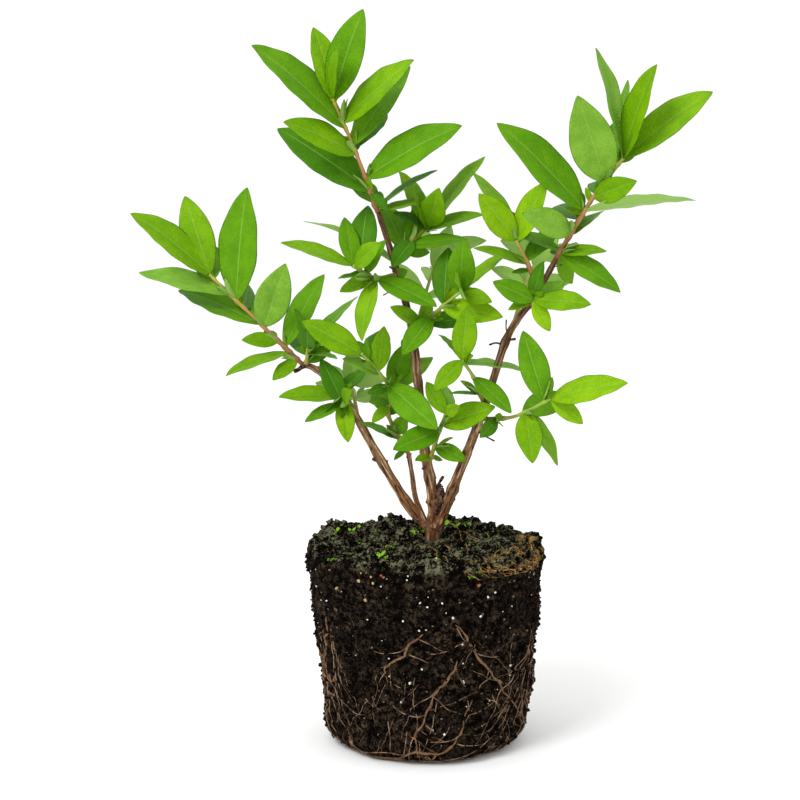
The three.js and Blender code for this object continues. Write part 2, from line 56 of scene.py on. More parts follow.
# The sockets of a Mix node that blends two colours, other nodes' outputs, and settings that nodes share
SHARE = 0
FIRST = 6
SECOND = 7
BLEND = {"output": 2, "data_type": "RGBA"}
OBJECT_PLACE = 3
FACTOR = 2
SMOOTH = {"interpolation_type": "SMOOTHSTEP"}

# The stage, in metres
FLOOR_RADIUS = 6.0
FLOOR_DROP = 0.0002
LIGHT_PLACE = Vector((-0.75, -1.05, 1.35))
LIGHT_AIM = Vector((0, 0, 0.15))
LIGHT_SIZE = 0.7

# The photograph's camera in millimetres and degrees, and its picture in pixels
CAMERA_PLACE = Vector((-13.7, -1250.0, 375.0))
CAMERA_PITCH = 8.7
PICTURE_SIZE = 800
FOCAL_PIXELS = 2400
SENSOR_WIDTH = 36.0
SIGHT_STEP = 0.5
SIGHT_REACH = 70.0

# The root ball, as pressed by a pot of about one litre
BALL_HEIGHT = 106.0
BALL_TOP_RADIUS = 62.5
BALL_FOOT_RADIUS = 52.0
BALL_EDGE_ROUND = 11.0
RIM_ROUND = 4.0
TOP_MOUND = 1.5
TORN_FROM = 80.0
FOOT_RINGS = 12
SIDE_RINGS = 130
TOP_RINGS = 84
BALL_SEGMENTS = 360

# The sizes of the cobbles of peat on the side and top, and the heaps on top: middle, width and height
SIDE_COBBLE = 3.6
TOP_COBBLE = 6.5
TOP_CRUMB = 3.1
HEAPS = (((-16, 27), 19, 7.5), ((22, 24), 18, 8.5), ((-47, 22), 19, 7.0), ((-7, 8), 9, 2.0))

# How many loose things lie on the ball, and how finely each is divided
LARGE_CRUMBS = 90
SIDE_CRUMBS = 2600
FLECKS = 420
MAT_ROOTS = 260
FORKS = 7
LOOSE_SEEDLINGS = 5
TUFT_LUMPS = 9
LOOSE_MOSS = 120
FINE_LUMP = 2
COARSE_LUMP = 1
LUMP_BATCH = 30

# Where the random draws of each thing start
STEM_SEED = 100
LEAF_SEED = 2024
AXIL_SEED = 700
CRUMB_SEED = 31
FLECK_SEED = 57
ROOT_SEED = 4242
SEEDLING_SEED = 808

# The wood
TRUNK_FOOT = (3, 4)
TRUNK_HEIGHT = 21.0
TRUNK_FLARE_RADIUS = 4.0
TRUNK_NECK_RADIUS = 3.0
TWIG_BASE_RADIUS = 1.3
TWIG_TIP_RADIUS = 0.75
STEM_NODES = 9
RING_START = Vector((0, -1, 0.1))

# The leaves
LEAF_WIDTH = 0.4
SHORT_LEAF = 40.0
SHORT_LEAF_EXTRA_WIDTH = 0.12
LEAF_FOLD = 10.0
LEAF_BOW = 8.0
PETIOLE_HALF_WIDTH = 0.7
LEAF_TO_LEAF = 4.5
LEAF_TO_LIMB = 2.2
SWINGS = (0, 5, -5, 10, -10, 15, -15, 20, -20, 32, -32)
BLADE_THICKNESS = 0.3
MIDRIB_THICKNESS = 0.55
AXIL_LEAF = 10.5
AXIL_SHARE = 0.62
AXIL_OPENING = 0.55
AXIL_AGES = ("young", "fresh", "grown")

# How a blade is divided across and along, and the points that stand for it while it looks for room
LEAF_COLUMNS = (-1, -0.9, -0.68, -0.42, -0.2, -0.07, 0, 0.07, 0.2, 0.42, 0.68, 0.9, 1)
LEAF_ROW_COUNT = 30
LEAF_ROWS = tuple(0.5 - 0.5 * math.cos(math.pi * i / LEAF_ROW_COUNT) for i in range(LEAF_ROW_COUNT + 1))
AXIL_COLUMNS = (-1, -0.5, 0, 0.5, 1)
AXIL_ROWS = (0, 0.06, 0.18, 0.34, 0.5, 0.66, 0.82, 0.94, 1)
SAMPLES = ((0.2, 0), (0.35, -1), (0.35, 1), (0.5, 0), (0.65, -1), (0.65, 1), (0.8, 0), (1, 0))

# Each stem: the points that it passes through, then its radius at the foot and at the tip
STEMS = {
    "stem_middle": (
        [(4, 3, 112), (4, 2, 130), (-1, 0, 160), (-4, -4, 192), (-8, -8, 224), (-15, -10, 252),
         (-25, -14, 284)],
        (3.5, 1.35),
    ),
    "stem_right": (
        [(6, 2, 114), (14, -2, 136), (24, -10, 164), (32.5, -17, 190), (42.5, -23, 222), (55, -28, 241),
         (66, -33, 262)],
        (3.0, 1.4),
    ),
    "stem_left": (
        [(3, 8, 111), (-11, 16, 127), (-27.5, 25, 153), (-45, 35, 182), (-59, 41, 194), (-67, 43, 197)],
        (2.8, 1.5),
    ),
    "stem_short": ([(1, 7, 114), (-5, 16, 127), (-7, 22, 138), (-9, 27, 150)], (1.6, 1.1)),
}

# The map of the wood has a column for the trunk and each stem, and one height for all of them
BARK_COLUMNS = 1 + len(STEMS)
BARK_RANGE = 260.0

# Dead stubs and twigs: stem, place along it, clock, lean, length, radius
STUBS = (
    ("stem_middle", 0.19, 30, 22, 12, 1.1),
    ("stem_middle", 0.26, -70, 30, 4, 0.9),
    ("stem_middle", 0.33, -62, 30, 7, 0.4),
    ("stem_middle", 0.33, 58, 30, 8, 0.4),
    ("stem_middle", 0.78, -103, 20, 11, 0.4),
    ("stem_middle", 0.84, -60, 30, 5, 0.7),
    ("stem_middle", 0.88, 70, 30, 5, 0.7),
    ("stem_right", 0.12, -75, 40, 4, 1.3),
    ("stem_right", 0.37, 118, 25, 12, 0.6),
    ("stem_right", 0.45, 155, 25, 7, 0.6),
    ("stem_right", 0.63, -84, 30, 9, 0.7),
    ("stem_right", 0.64, 70, 30, 6, 0.9),
    ("stem_right", 0.66, -8, 30, 10, 0.5),
    ("stem_right", 0.90, -66, 25, 9, 0.4),
    ("stem_right", 0.94, 64, 25, 7, 0.4),
    ("stem_left", 0.13, 150, 45, 5, 1.4),
    ("stem_left", 0.36, -75, 25, 5, 1.1),
    ("stem_left", 0.34, 35, 25, 4, 0.8),
    ("stem_left", 0.52, -80, 25, 6, 1.2),
    ("stem_left", 0.94, -120, 20, 7, 1.6),
    ("stem_short", 0.98, -40, 25, 4, 0.9),
)

# Dark knots on the stems: stem, place along it, and size
KNOTS = (
    ("stem_middle", 0.16, 1.5), ("stem_middle", 0.24, 1.0), ("stem_middle", 0.56, 0.8),
    ("stem_middle", 0.835, 1.1), ("stem_middle", 0.885, 1.0),
    ("stem_right", 0.13, 1.3), ("stem_right", 0.17, 1.2), ("stem_right", 0.45, 0.8),
    ("stem_right", 0.64, 1.2), ("stem_right", 0.8, 0.8),
    ("stem_left", 0.14, 1.3), ("stem_left", 0.2, 1.0), ("stem_left", 0.35, 0.9), ("stem_left", 0.66, 0.8),
    ("stem_left", 0.92, 1.0),
    ("stem_short", 0.12, 0.8), ("stem_short", 0.98, 0.8),
)
KNOT_LUMPS = 5

# The knotty swelling between the two thickest stems
BURL_PATH = (Vector((5.5, 0, 122)), Vector((7.6, -1.4, 131)), Vector((7.4, -1.0, 138)))
BURL_RADIUS = 2.1
BURL_KNOTS = (0.15, 0.4, 0.6, 0.8, 0.95)

# Each leafy shoot: the stem that carries it and the place along that stem, the points that it passes
# through or how far it bows upwards, the point where it ends, and its leaves. A leaf is its place along the
# shoot, the clock direction in which it points seen from the front, its lean towards the front, its
# length, how far its face is turned, and its age: b bright and young, m full grown, d deep green, p pale.
# A d leaf's deep green is partly its age and partly painted shade, for leaves in the crown's shadow.
SHOOTS = {
    "leader_left": {
        "from": ("stem_left", 1), "to": (-118, 60, 244), "bow": 0,
        "leaves": [
            (1.00, -49, 10, 55, 55, "m"), (1.00, -18, -12, 46, 8, "b"), (0.69, 6, 8, 63, 25, "m"),
            (0.74, -77, -12, 54, 66, "p"), (0.44, -71, -32, 60, 58, "d"), (0.42, 20, 38, 49, 2, "p"),
            (0.28, -85, 20, 21, 30, "b"), (0.30, -60, -20, 13, 50, "m"), (0.17, -106, 25, 39, 74, "m"),
            (0.08, -128, 30, 19, 35, "m"), (0.92, -35, -62, 46, 20, "d"), (0.62, -2, -74, 38, 60, "d"),
            (0.22, 28, -15, 46, 45, "d"),
        ],
    },
    "spur_left_knee": {
        "from": ("stem_left", 0.92), "to": (-63, 34, 208), "bow": 0,
        "leaves": [
            (0.90, 46, -38, 46, 72, "m"), (0.80, 2, 55, 26, 20, "d"), (0.20, 58, 35, 17, 15, "m"),
            (0.60, 93, 12, 23, 80, "d"), (1.00, -20, -25, 22, 50, "m"), (0.50, -30, -72, 42, 20, "d"),
            (0.90, 54, 40, 16, 30, "b"),
        ],
    },
    "spur_left_low": {
        "from": ("stem_left", 0.62), "to": (-44, 24, 177), "bow": 2,
        "leaves": [
            (0.60, -88.5, 15, 35, 58, "b"), (1.00, -27, -40, 29, 30, "d"), (0.80, 30, 30, 21, 40, "b"),
            (0.40, 50, -40, 23, 45, "d"), (0.90, -113, 10, 23, 60, "m"), (0.70, 172, 48, 24, 5, "b"),
            (0.40, 51, 20, 8, 40, "m"),
        ],
    },
    "leader_middle": {
        "from": ("stem_middle", 1), "to": (-48, -22, 342), "bow": 2,
        "leaves": [
            (0.69, -46.8, 15, 65, 58, "d"), (0.97, -15, -15, 39, 34, "b"), (0.97, 18, 10, 49, 20, "m"),
            (1.00, 8, 24, 33, 62, "b"), (0.74, 47.5, 20, 51, 48, "b"), (0.55, 36, -20, 53, 46, "m"),
            (0.48, -64, 30, 46, 46, "b"), (0.20, -56, -10, 59, 40, "d"), (0.30, 60, 10, 57, 42, "d"),
            (0.22, 5, 30, 11, 40, "b"), (0.20, 138, 40, 16, 40, "d"), (0.10, -42, -55, 28, 30, "d"),
            (0.00, 78, 20, 27, 70, "m"), (0.00, 2, -20, 16, 30, "m"), (0.92, 14, -70, 42, 60, "d"),
            (0.50, -66, -68, 42, 60, "d"), (0.52, 40, -70, 42, 50, "d"), (0.05, 58, -5, 37, 86, "d"),
        ],
    },
    "shoot_middle_left": {
        "from": ("stem_middle", 0.83), "to": (-38, -24, 257), "bow": -4,
        "leaves": [
            (1.00, -70, 15, 40, 66, "b"), (1.00, -10, -30, 28, 25, "m"), (0.80, 6, -20, 40, 20, "d"),
            (0.95, 45, 40, 25, 30, "b"), (0.50, -86, 30, 22, 80, "d"), (0.50, -111, 30, 20, 45, "m"),
            (0.45, 113, 30, 38, 45, "m"), (0.50, -166, 25, 35, 44, "b"), (0.70, 30, 15, 22, 40, "m"),
            (0.02, 60, 30, 12, 10, "d"),
        ],
    },
    "shoot_centre_top": {
        "from": ("stem_middle", 0.86), "to": (1, -2, 275), "bow": 2,
        "leaves": [
            (1.00, 13, 48, 36, 5, "m"), (0.90, -18, -50, 24, 20, "d"), (1.00, -26, -20, 33, 50, "b"),
            (0.95, -19, 10, 34, 65, "b"), (0.55, 10, -80, 40, 60, "d"), (1.00, 38, 10, 48, 72, "b"),
            (0.85, 74, 30, 33, 66, "m"), (0.38, 82, 10, 32, 60, "m"), (0.30, -25, -55, 36, 20, "d"),
            (0.40, 24, -40, 29, 20, "d"), (0.80, 5, -62, 40, 20, "d"), (0.55, -140, 30, 24, 30, "d"),
            (0.95, -64, 20, 21, 60, "d"), (0.00, -65.5, -25, 58, 84, "p"), (0.30, 96, 20, 14, 10, "m"),
        ],
    },
    "shoot_right_inner": {
        "from": ("stem_right", 0.86), "to": (45, -34, 271), "bow": 2,
        "leaves": [
            (1.00, -38, 30, 36, 10, "b"), (1.00, -31, -30, 45, 62, "m"), (0.95, 24, 20, 36, 40, "b"),
            (0.50, 45, -40, 30, 50, "m"), (0.45, -72, 10, 30, 70, "m"), (0.35, -95, 20, 10, 60, "m"),
            (0.90, -10, -68, 40, 20, "d"),
        ],
    },
    "spur_right": {
        "from": ("stem_right", 0.8), "to": (54, -40, 241), "bow": 1,
        "leaves": [
            (1.00, -64, 20, 25, 10, "d"), (1.00, 91, 25, 31, 45, "m"), (1.00, 152, 40, 18, 0, "b"),
            (0.80, -110, 30, 14, 50, "m"), (1.00, 62, 0, 20, 30, "p"), (0.70, 14, -15, 22, 40, "d"),
        ],
    },
    "leader_right": {
        "from": ("stem_right", 1), "to": (98, -46, 313), "bow": 3,
        "leaves": [
            (1.00, -15, 5, 57, 66, "p"), (1.00, 5, -15, 45, 65, "m"), (1.00, 16, 10, 52, 60, "m"),
            (1.00, 51.5, 5, 55, 52, "m"), (0.70, -21, 38, 59, 0, "p"), (0.43, -44.5, -5, 63, 44, "d"),
            (0.50, -15, 20, 8, 30, "b"), (0.55, 64, 45, 30, 10, "m"), (0.42, 82, 15, 57, 112, "p"),
            (0.22, 56, -40, 30, 70, "m"), (0.26, -67, 30, 37, 20, "p"), (0.40, -70, 20, 9, 40, "b"),
            (0.05, 6, -50, 18, 30, "d"), (0.07, 86, 10, 24, 60, "m"), (0.07, 122, 20, 37, 40, "d"),
            (0.08, -68, -45, 30, 70, "d"), (0.90, 10, -65, 48, 20, "d"), (0.58, 62, -72, 38, 60, "d"),
            (0.35, -60, -75, 40, 50, "d"), (0.00, 148, 0, 20, 20, "m"),
        ],
    },
    "shoot_centre_right": {
        "from": ("stem_middle", 0.64), "to": (17, -30, 244), "bow": 1,
        "leaves": [
            (1.00, 2, 35, 35, 10, "d"), (0.65, 5, -30, 33, 20, "d"), (1.00, -18, 42, 37, 88, "b"),
            (1.00, 52, 15, 35, 70, "b"), (1.00, 104, 30, 19, 20, "b"), (0.62, 97, 25, 34, 25, "b"),
            (0.28, 86, -10, 27, 45, "d"), (0.25, -59, 20, 21, 45, "m"), (0.42, -140, 35, 29, 20, "m"),
            (0.12, -129, 15, 15, 70, "d"), (0.25, 18, -30, 16, 30, "m"),
        ],
    },
    "shoot_centre_low": {
        "from": ("stem_right", 0.46), "to": (18, -31, 209), "bow": 3,
        "leaves": [
            (1.00, 5, 0, 31, 0, "b"), (0.85, 103, -50, 48, 88, "p"), (0.22, -86, 15, 17, 85, "d"),
            (0.50, 130, 30, 29, 42, "d"), (0.85, -41, -20, 21, 76, "m"), (1.00, -134, 30, 23, 20, "m"),
        ],
    },
    "shoot_inner_left": {
        "from": ("stem_short", 1), "via": [(-20, 18, 173), (-18.5, 2, 189)], "to": (-34, -10, 210),
        "leaves": [
            (0.06, -130, 20, 9, 50, "d"), (0.14, -64, 10, 25, 76, "m"), (0.19, 24, 45, 20, 20, "m"),
            (0.46, -135, 25, 14, 30, "m"), (0.33, 65, 20, 9, 50, "d"), (0.50, -84, 20, 14, 50, "m"),
            (0.45, -40, 20, 8, 30, "b"), (0.72, 127, 40, 42, 12, "m"), (0.68, 22, -30, 28, 5, "d"),
            (0.64, 52, -36, 34, 50, "m"), (0.70, -105, 30, 13, 25, "d"), (0.80, -65, 20, 23, 60, "p"),
            (0.85, -63, 38, 16, 60, "p"), (0.82, 8, 20, 25, 5, "b"), (1.00, -59, 15, 36, 20, "b"),
            (0.35, -30, -68, 30, 30, "d"), (0.90, 30, -60, 32, 20, "d"),
        ],
    },
    "shoot_low_middle": {
        "from": ("stem_middle", 0.27), "to": (10, -16, 179), "bow": 0,
        "leaves": [
            (0.22, -93, 40, 12, 50, "m"), (0.40, 110, 30, 20, 25, "m"), (0.22, 111, 0, 8, 50, "m"),
            (1.00, 50, 55, 16, 20, "b"), (0.76, 66, 34, 34, 25, "b"), (0.66, -105, 36, 31, 25, "m"),
            (0.72, -52, 55, 12, 10, "m"), (1.00, -32, -5, 20, 15, "m"), (1.00, -11, -30, 33, 52, "p"),
        ],
    },
    "shoot_right_low": {
        "from": ("stem_right", 0.41), "to": (63, -42, 191), "bow": -4,
        "leaves": [
            (0.88, -17, -10, 38, 0, "m"), (1.00, 74, 25, 43, 46, "b"), (1.00, 127, 10, 21, 20, "b"),
            (0.60, 75, -45, 36, 30, "d"), (0.64, 174, 50, 34, 0, "b"), (0.64, 148, -15, 36, 62, "m"),
            (0.28, -130, 40, 17, 0, "d"), (0.35, -58, 20, 8, 40, "m"),
        ],
    },
    "shoot_back_middle": {
        "from": ("stem_middle", 0.62), "to": (8, 44, 258), "bow": 4,
        "pairs": 3, "longest": 32, "seed": 11,
    },
    "shoot_back_right": {
        "from": ("stem_right", 0.7), "to": (62, 40, 256), "bow": 5,
        "pairs": 3, "longest": 31, "seed": 23,
    },
    "shoot_back_left": {
        "from": ("stem_left", 0.5), "to": (-42, 70, 184), "bow": 3,
        "pairs": 3, "longest": 25, "seed": 41,
    },
}

# How much of its red, green and blue a leaf's colour keeps in its deeper specks
DEEPENED = (0.66, 0.77, 0.55)

# Which ages of leaf a letter may stand for, dealt out by a seeded draw. The deep one is an old leaf's
# deep green, darkened further as painted shade for leaves in the crown's shadow
LEAF_AGES = {
    "b": ("young", "fresh"),
    "m": ("fresh", "grown"),
    "d": ("grown", "deep"),
    "p": ("pale", "pale"),
}

# The shoots with tan skin
LEADERS = (
    "leader_left", "leader_middle", "leader_right", "spur_right", "shoot_right_inner", "shoot_centre_top",
)

# What the photograph shows on the root ball, each thing by its pixels across and down
WOODY_ROOT_PIXELS = (
    ((455, 625), (464, 634), (470, 645), (480, 661), (490, 672), (499, 683), (503, 692), (514, 706),
     (522, 718)),
    ((457, 660), (454, 671), (443, 685), (434, 694), (428, 710), (424, 722), (415, 735), (417, 746),
     (418, 757)),
    ((423, 634), (410, 643), (405, 655), (394, 661), (385, 668), (388, 682)),
    ((350, 752), (376, 757), (398, 758), (416, 752), (438, 754), (452, 746), (460, 735), (463, 719),
     (472, 700)),
)
PALE_ROOT_PIXELS = (
    ((449, 525), (460, 535), (466, 545), (470, 553)),
    ((452, 527), (463, 533), (472, 539), (479, 544)),
    ((427, 549), (436, 553), (443, 558), (451, 563)),
    ((440, 547), (448, 549), (454, 555), (460, 562)),
    ((386, 548), (396, 543), (404, 540)),
)
PERLITE_PIXELS = (
    (408, 576), (407, 580), (420, 603), (365, 600), (494, 592), (488, 597), (453, 618), (442, 603),
    (480, 616), (419, 631), (426, 630), (462, 644), (410, 683), (422, 669), (433, 730), (444, 734),
    (403, 621), (463, 682),
)
SEEDLING_PIXELS = (
    (419, 527), (422, 533), (415, 535), (381, 557), (386, 561), (377, 560), (446, 526), (455, 528),
    (489, 538),
)
MOSS_PIXELS = (
    (381, 558), (345, 556), (336, 560), (433, 557), (437, 562), (477, 572), (481, 566), (470, 577),
    (362, 545), (391, 548),
)
PALE_GRIT_PIXELS = ((360, 574), (359, 581), (338, 588), (366, 600), (371, 577), (527, 549), (436, 560))
RED_GRIT_PIXELS = ((384, 577), (381, 576), (478, 585))

# Where more roots lie, in degrees round from the front: the mat at the rim, the dense flanks, the old roots
# that the photograph doesn't show, and the roots that run round the foot
MAT_CLOCKS = (12, 96)
FLANK_CLOCKS = (86, -72, 172)
BACK_ROOT_CLOCKS = (128, 168, -142, -104, -60)
FOOT_ROOT_CLOCKS = range(-170, 190, 20)

# Grains in the ball: piece, material, its two colours, the size of its pattern, roughness and relief, then
# the pixels where the photograph shows them, their size, how many more lie round the ball, and the seed
GRAINS = (
    ("perlite", "Perlite, white puffed grains", "#cfcbc2", "#f2efe8", 0.6, 0.8, 0.3,
     PERLITE_PIXELS, 0.55, 110, 71),
    ("pale_grit", "Grit, cream quartz", "#8e7048", "#c8b084", 1.5, 0.7, 0.2,
     PALE_GRIT_PIXELS, 0.85, 10, 73),
    ("red_grit", "Grit, red-brown brick", "#6e3a28", "#a4664c", 1.5, 0.8, 0.2,
     RED_GRIT_PIXELS, 0.9, 7, 79),
)


def linear(code):
    """The linear colour of an sRGB hex value."""
    parts = [int(code[i:i + 2], 16) / 255 for i in (1, 3, 5)]
    return tuple(p / 12.92 if p <= 0.04045 else ((p + 0.055) / 1.055) ** 2.4 for p in parts)


def seeded(seed):
    """A small seeded generator that gives numbers from 0 to 1."""
    state = seed
    while True:
        state = (state * 1664525 + 1013904223) % 4294967296
        yield state / 4294967296


def jitter(draw):
    """A seeded step of up to a half each way."""
    return Vector((next(draw) - 0.5, next(draw) - 0.5, next(draw) - 0.5))


def smooth_step(value, low, high):
    """An even rise from 0 at the low value to 1 at the high one, eased at both ends."""
    share = min(max((value - low) / (high - low), 0.0), 1.0)
    return share * share * (3 - 2 * share)


def rough(place, size, octaves, shift=0.0):
    """Rolling noise from about -1 to 1 whose largest lumps have the given size in millimetres."""
    return noise.fractal(place / size + Vector((shift, -shift, 2 * shift)), 0.8, 2.1, octaves)


def point_on(path, along):
    """A smooth path through a few points, from 0 at its first point to 1 at its last."""
    last = len(path) - 1
    spot = min(max(along, 0.0), 1.0) * last
    first = min(int(spot), last - 1)
    u = spot - first
    before = path[max(first - 1, 0)]
    start = path[first]
    end = path[first + 1]
    after = path[min(first + 2, last)]
    square = u * u
    cube = square * u
    return 0.5 * (
        2 * start + (end - before) * u + (2 * before - 5 * start + 4 * end - after) * square
        + (3 * start - before - 3 * end + after) * cube
    )


def path_length(path):
    """The length of a path, measured straight from point to point."""
    return sum((end - start).length for start, end in zip(path, path[1:]))


def direction_on(path, along):
    """The direction in which a smooth path runs at a place along it."""
    low = max(along - 0.02, 0.0)
    high = min(along + 0.02, 1.0)
    return (point_on(path, high) - point_on(path, low)).normalized()


def pointing(clock, lean):
    """The direction that a clock angle and a lean towards the front give."""
    turn = math.radians(clock)
    tip = math.radians(lean)
    return Vector((math.sin(turn) * math.cos(tip), -math.sin(tip), math.cos(turn) * math.cos(tip)))


def leaf_axes(clock, lean, turned):
    """A leaf's direction and the way its upper face looks."""
    ahead = pointing(clock, lean)
    front = Vector((0, -1, 0))
    facing = (front - ahead * front.dot(ahead)).normalized()
    inward = ahead.cross(facing) * (1 if clock < 0 else -1)
    turn = math.radians(turned)
    return ahead, facing * math.cos(turn) + inward * math.sin(turn)


def leaf_half_width(share, length):
    """Half a leaf's width at a share of its length: a pointed blade on a narrow stalk."""
    widest = length * (LEAF_WIDTH + SHORT_LEAF_EXTRA_WIDTH * max(0.0, 1 - length / SHORT_LEAF))
    blade = 0.5 * widest * max(math.sin(math.pi * share ** 0.92), 0.0) ** 0.75
    return max(blade, PETIOLE_HALF_WIDTH * (1 - share))


def leaf_point(leaf, share, across, above):
    """A point of a leaf: its share of the length, and how far it lies across the blade and above it."""
    bow = math.radians(leaf.get("bow", LEAF_BOW))
    fold = math.radians(leaf.get("fold", LEAF_FOLD))
    angle = bow * (0.5 - share)
    ahead = (math.sin(bow / 2) - math.sin(angle)) / bow
    raised = (math.cos(angle) - math.cos(bow / 2)) / bow
    side = leaf["ahead"].cross(leaf["face"])
    normal = leaf["face"] * math.cos(angle) - leaf["ahead"] * math.sin(angle)
    return (
        leaf["base"] + leaf["ahead"] * (leaf["length"] * ahead) + leaf["face"] * (leaf["length"] * raised)
        + side * (across * math.cos(fold)) + normal * (abs(across) * math.sin(fold) + above)
    )


def paired_leaves(shoot, path):
    """The leaves of a shoot that has none listed: opposite pairs, each a quarter turn on from the last."""
    draw = seeded(shoot["seed"])
    leaves = []
    for pair in range(shoot["pairs"]):
        at = 1 - pair / (shoot["pairs"] + 0.5)
        ahead = direction_on(path, at)
        sideways = ahead.cross(Vector((0, 0, 1))).normalized()
        quarter = math.radians(90 * pair + 30 * next(draw))
        for opposite in (0, math.pi):
            out = Matrix.Rotation(quarter + opposite, 3, ahead) @ sideways
            opened = math.radians(50 + 20 * next(draw))
            length = shoot["longest"] * (0.75 + 0.25 * next(draw))
            direction = ahead * math.cos(opened) + out * math.sin(opened)
            face = (ahead - direction * ahead.dot(direction)).normalized()
            leaves.append({"at": at, "length": length, "ahead": direction, "face": face, "age": "m"})
    return leaves


def swung(leaf, swing):
    """The same leaf, tilted up or down by a number of degrees."""
    turn = Matrix.Rotation(math.radians(swing), 3, leaf["ahead"].cross(leaf["face"]))
    return {**leaf, "ahead": turn @ leaf["ahead"], "face": turn @ leaf["face"]}


def shoot_path(shoot, stem_paths):
    """The points that a shoot passes through, from its stem to its tip."""
    carrier, along = shoot["from"]
    start = point_on(stem_paths[carrier], along)
    tip = Vector(shoot["to"])
    if "via" in shoot:
        return [start, *[Vector(place) for place in shoot["via"]], tip]
    middle = start.lerp(tip, 0.5) + Vector((0, 0, shoot["bow"]))
    return [start, middle, tip]


def samples_of(leaf):
    """A few points of a leaf that stand for its blade."""
    return [
        leaf_point(leaf, share, 0.8 * side * leaf_half_width(share, leaf["length"]), 0.0)
        for share, side in SAMPLES
    ]


def room_around(points, taken, limbs):
    """How far a leaf's points stay from the leaves and the limbs that are already there."""
    room = 100.0
    for other in taken:
        if (other[3] - points[3]).length < 60:
            for point in points:
                room = min(room, min((point - spot).length for spot in other) - LEAF_TO_LEAF)
    for line, radius in limbs:
        for point in points[1:]:
            room = min(room, min((point - spot).length for spot in line) - radius - LEAF_TO_LIMB)
    return room


def line_of(path, steps, radius):
    """Points along a limb, and its thickness."""
    return [point_on(path, i / steps) for i in range(steps + 1)], radius


def grow():
    """The paths of stems and shoots, and every leaf's place: it swings in its lean until it has room."""
    stem_paths = {name: [Vector(p) for p in points] for name, (points, radii) in STEMS.items()}
    paths = {name: shoot_path(shoot, stem_paths) for name, shoot in SHOOTS.items()}
    limbs = [line_of(path, 40, STEMS[name][1][0] * 0.8) for name, path in stem_paths.items()]
    limbs += [line_of(path, 12, TWIG_BASE_RADIUS) for path in paths.values()]
    taken = []
    grown = {}
    for name, shoot in SHOOTS.items():
        path = paths[name]
        grown[name] = []
        for row in shoot.get("leaves") or paired_leaves(shoot, path):
            best = None
            for swing in SWINGS:
                if isinstance(row, dict):
                    leaf = swung(row, swing)
                else:
                    at, clock, lean, length, turned, age = row
                    ahead, face = leaf_axes(clock, lean + swing, turned)
                    leaf = {"at": at, "length": length, "ahead": ahead, "face": face, "age": age}
                leaf["base"] = point_on(path, leaf["at"])
                points = samples_of(leaf)
                room = room_around(points, taken, limbs)
                if best is None or room > best[0] + 1e-9:
                    best = (room, leaf, points)
                if room > 0:
                    break
            taken.append(best[2])
            grown[name].append(best[1])
    return stem_paths, paths, grown


STEM_PATHS, SHOOT_PATHS, GROWN_LEAVES = grow()


def ball_radius(height):
    """The plain tapered radius of the ball."""
    return BALL_FOOT_RADIUS + (BALL_TOP_RADIUS - BALL_FOOT_RADIUS) * height / BALL_HEIGHT


def ball_lump(angle, height):
    """Broad waves round the ball."""
    return (
        0.9 * math.sin(3 * angle + 0.05 * height + 1) + 0.6 * math.sin(7 * angle - 0.11 * height)
        + 0.4 * math.sin(12 * angle + 0.19 * height + 2)
    )


def ball_reach(angle, height):
    """How far the pressed peat reaches from the middle, with its round foot and rim."""
    reach = ball_radius(height) + ball_lump(angle, height)
    if height < BALL_EDGE_ROUND:
        drop = 1 - height / BALL_EDGE_ROUND
        reach -= BALL_EDGE_ROUND * (1 - math.sqrt(max(1 - drop * drop, 0.0)))
    if height > BALL_HEIGHT - RIM_ROUND:
        rise = (height - BALL_HEIGHT + RIM_ROUND) / RIM_ROUND
        reach -= RIM_ROUND * (1 - math.sqrt(max(1 - rise * rise, 0.0)))
    return reach


def cobbles(place, size):
    """Rounded lumps with sharp creases between them."""
    return 0.6 - noise.voronoi(place / size)[0][0]


def side_push(place):
    """How far the crumbly side stands out from the pressed form."""
    torn = smooth_step(place.z, TORN_FROM, BALL_HEIGHT)
    push = 1.0 * rough(place, 7, 3) + 1.3 * cobbles(place, SIDE_COBBLE) + 0.4 * rough(place, 1.8, 2, 5.0)
    return smooth_step(place.z, 0, 8) * (push + 1.3 * torn * rough(place, 14, 2, 9.0))


def heap(x, y, middle, width):
    """A round heap, from 0 at its edge to 1 at its top."""
    return smooth_step(math.hypot(x - middle[0], y - middle[1]), width, 0)


def from_trunk(x, y):
    """How far a place on the ball's top lies from the trunk."""
    return math.hypot(x - TRUNK_FOOT[0], y - TRUNK_FOOT[1])


def top_rise(x, y, clump):
    """How far the crumbly top stands above its plain height."""
    away = from_trunk(x, y)
    waves = math.sin(0.13 * x + 1) * math.cos(0.11 * y) + 0.7 * math.sin(0.29 * x - 0.23 * y + 2)
    waves += 0.5 * math.sin(0.37 * x + 0.41 * y)
    mound = TOP_MOUND * (0.8 * waves + 0.4)
    place = Vector((x, y, 0))
    lumps = 0.6 * rough(place, 10, 3, 3.1) + 0.6 * cobbles(place, TOP_COBBLE)
    lumps = clump * (lumps + 0.35 * cobbles(place, TOP_CRUMB))
    heaps = sum(height * heap(x, y, middle, width) for middle, width, height in HEAPS)
    near = 1.6 * smooth_step(away, 16, 7) + 0.4 * lumps * smooth_step(away, 4, 9)
    return smooth_step(away, 6, 18) * (mound + lumps) + heaps + near * smooth_step(away, 20, 12)


def ball_clock(place):
    """How many degrees round from the front a place lies."""
    return math.degrees(math.atan2(place.x, -place.y))


def round_from_front(angle, away):
    """Across and back of a place at an angle round from the front and a distance from the middle."""
    return away * math.sin(angle), -away * math.cos(angle)


def anywhere_on_top(draw, reach):
    """Across and back of a seeded place on the ball's top, spread evenly out to a reach."""
    away = reach * math.sqrt(next(draw))
    return round_from_front(2 * math.pi * next(draw), away)


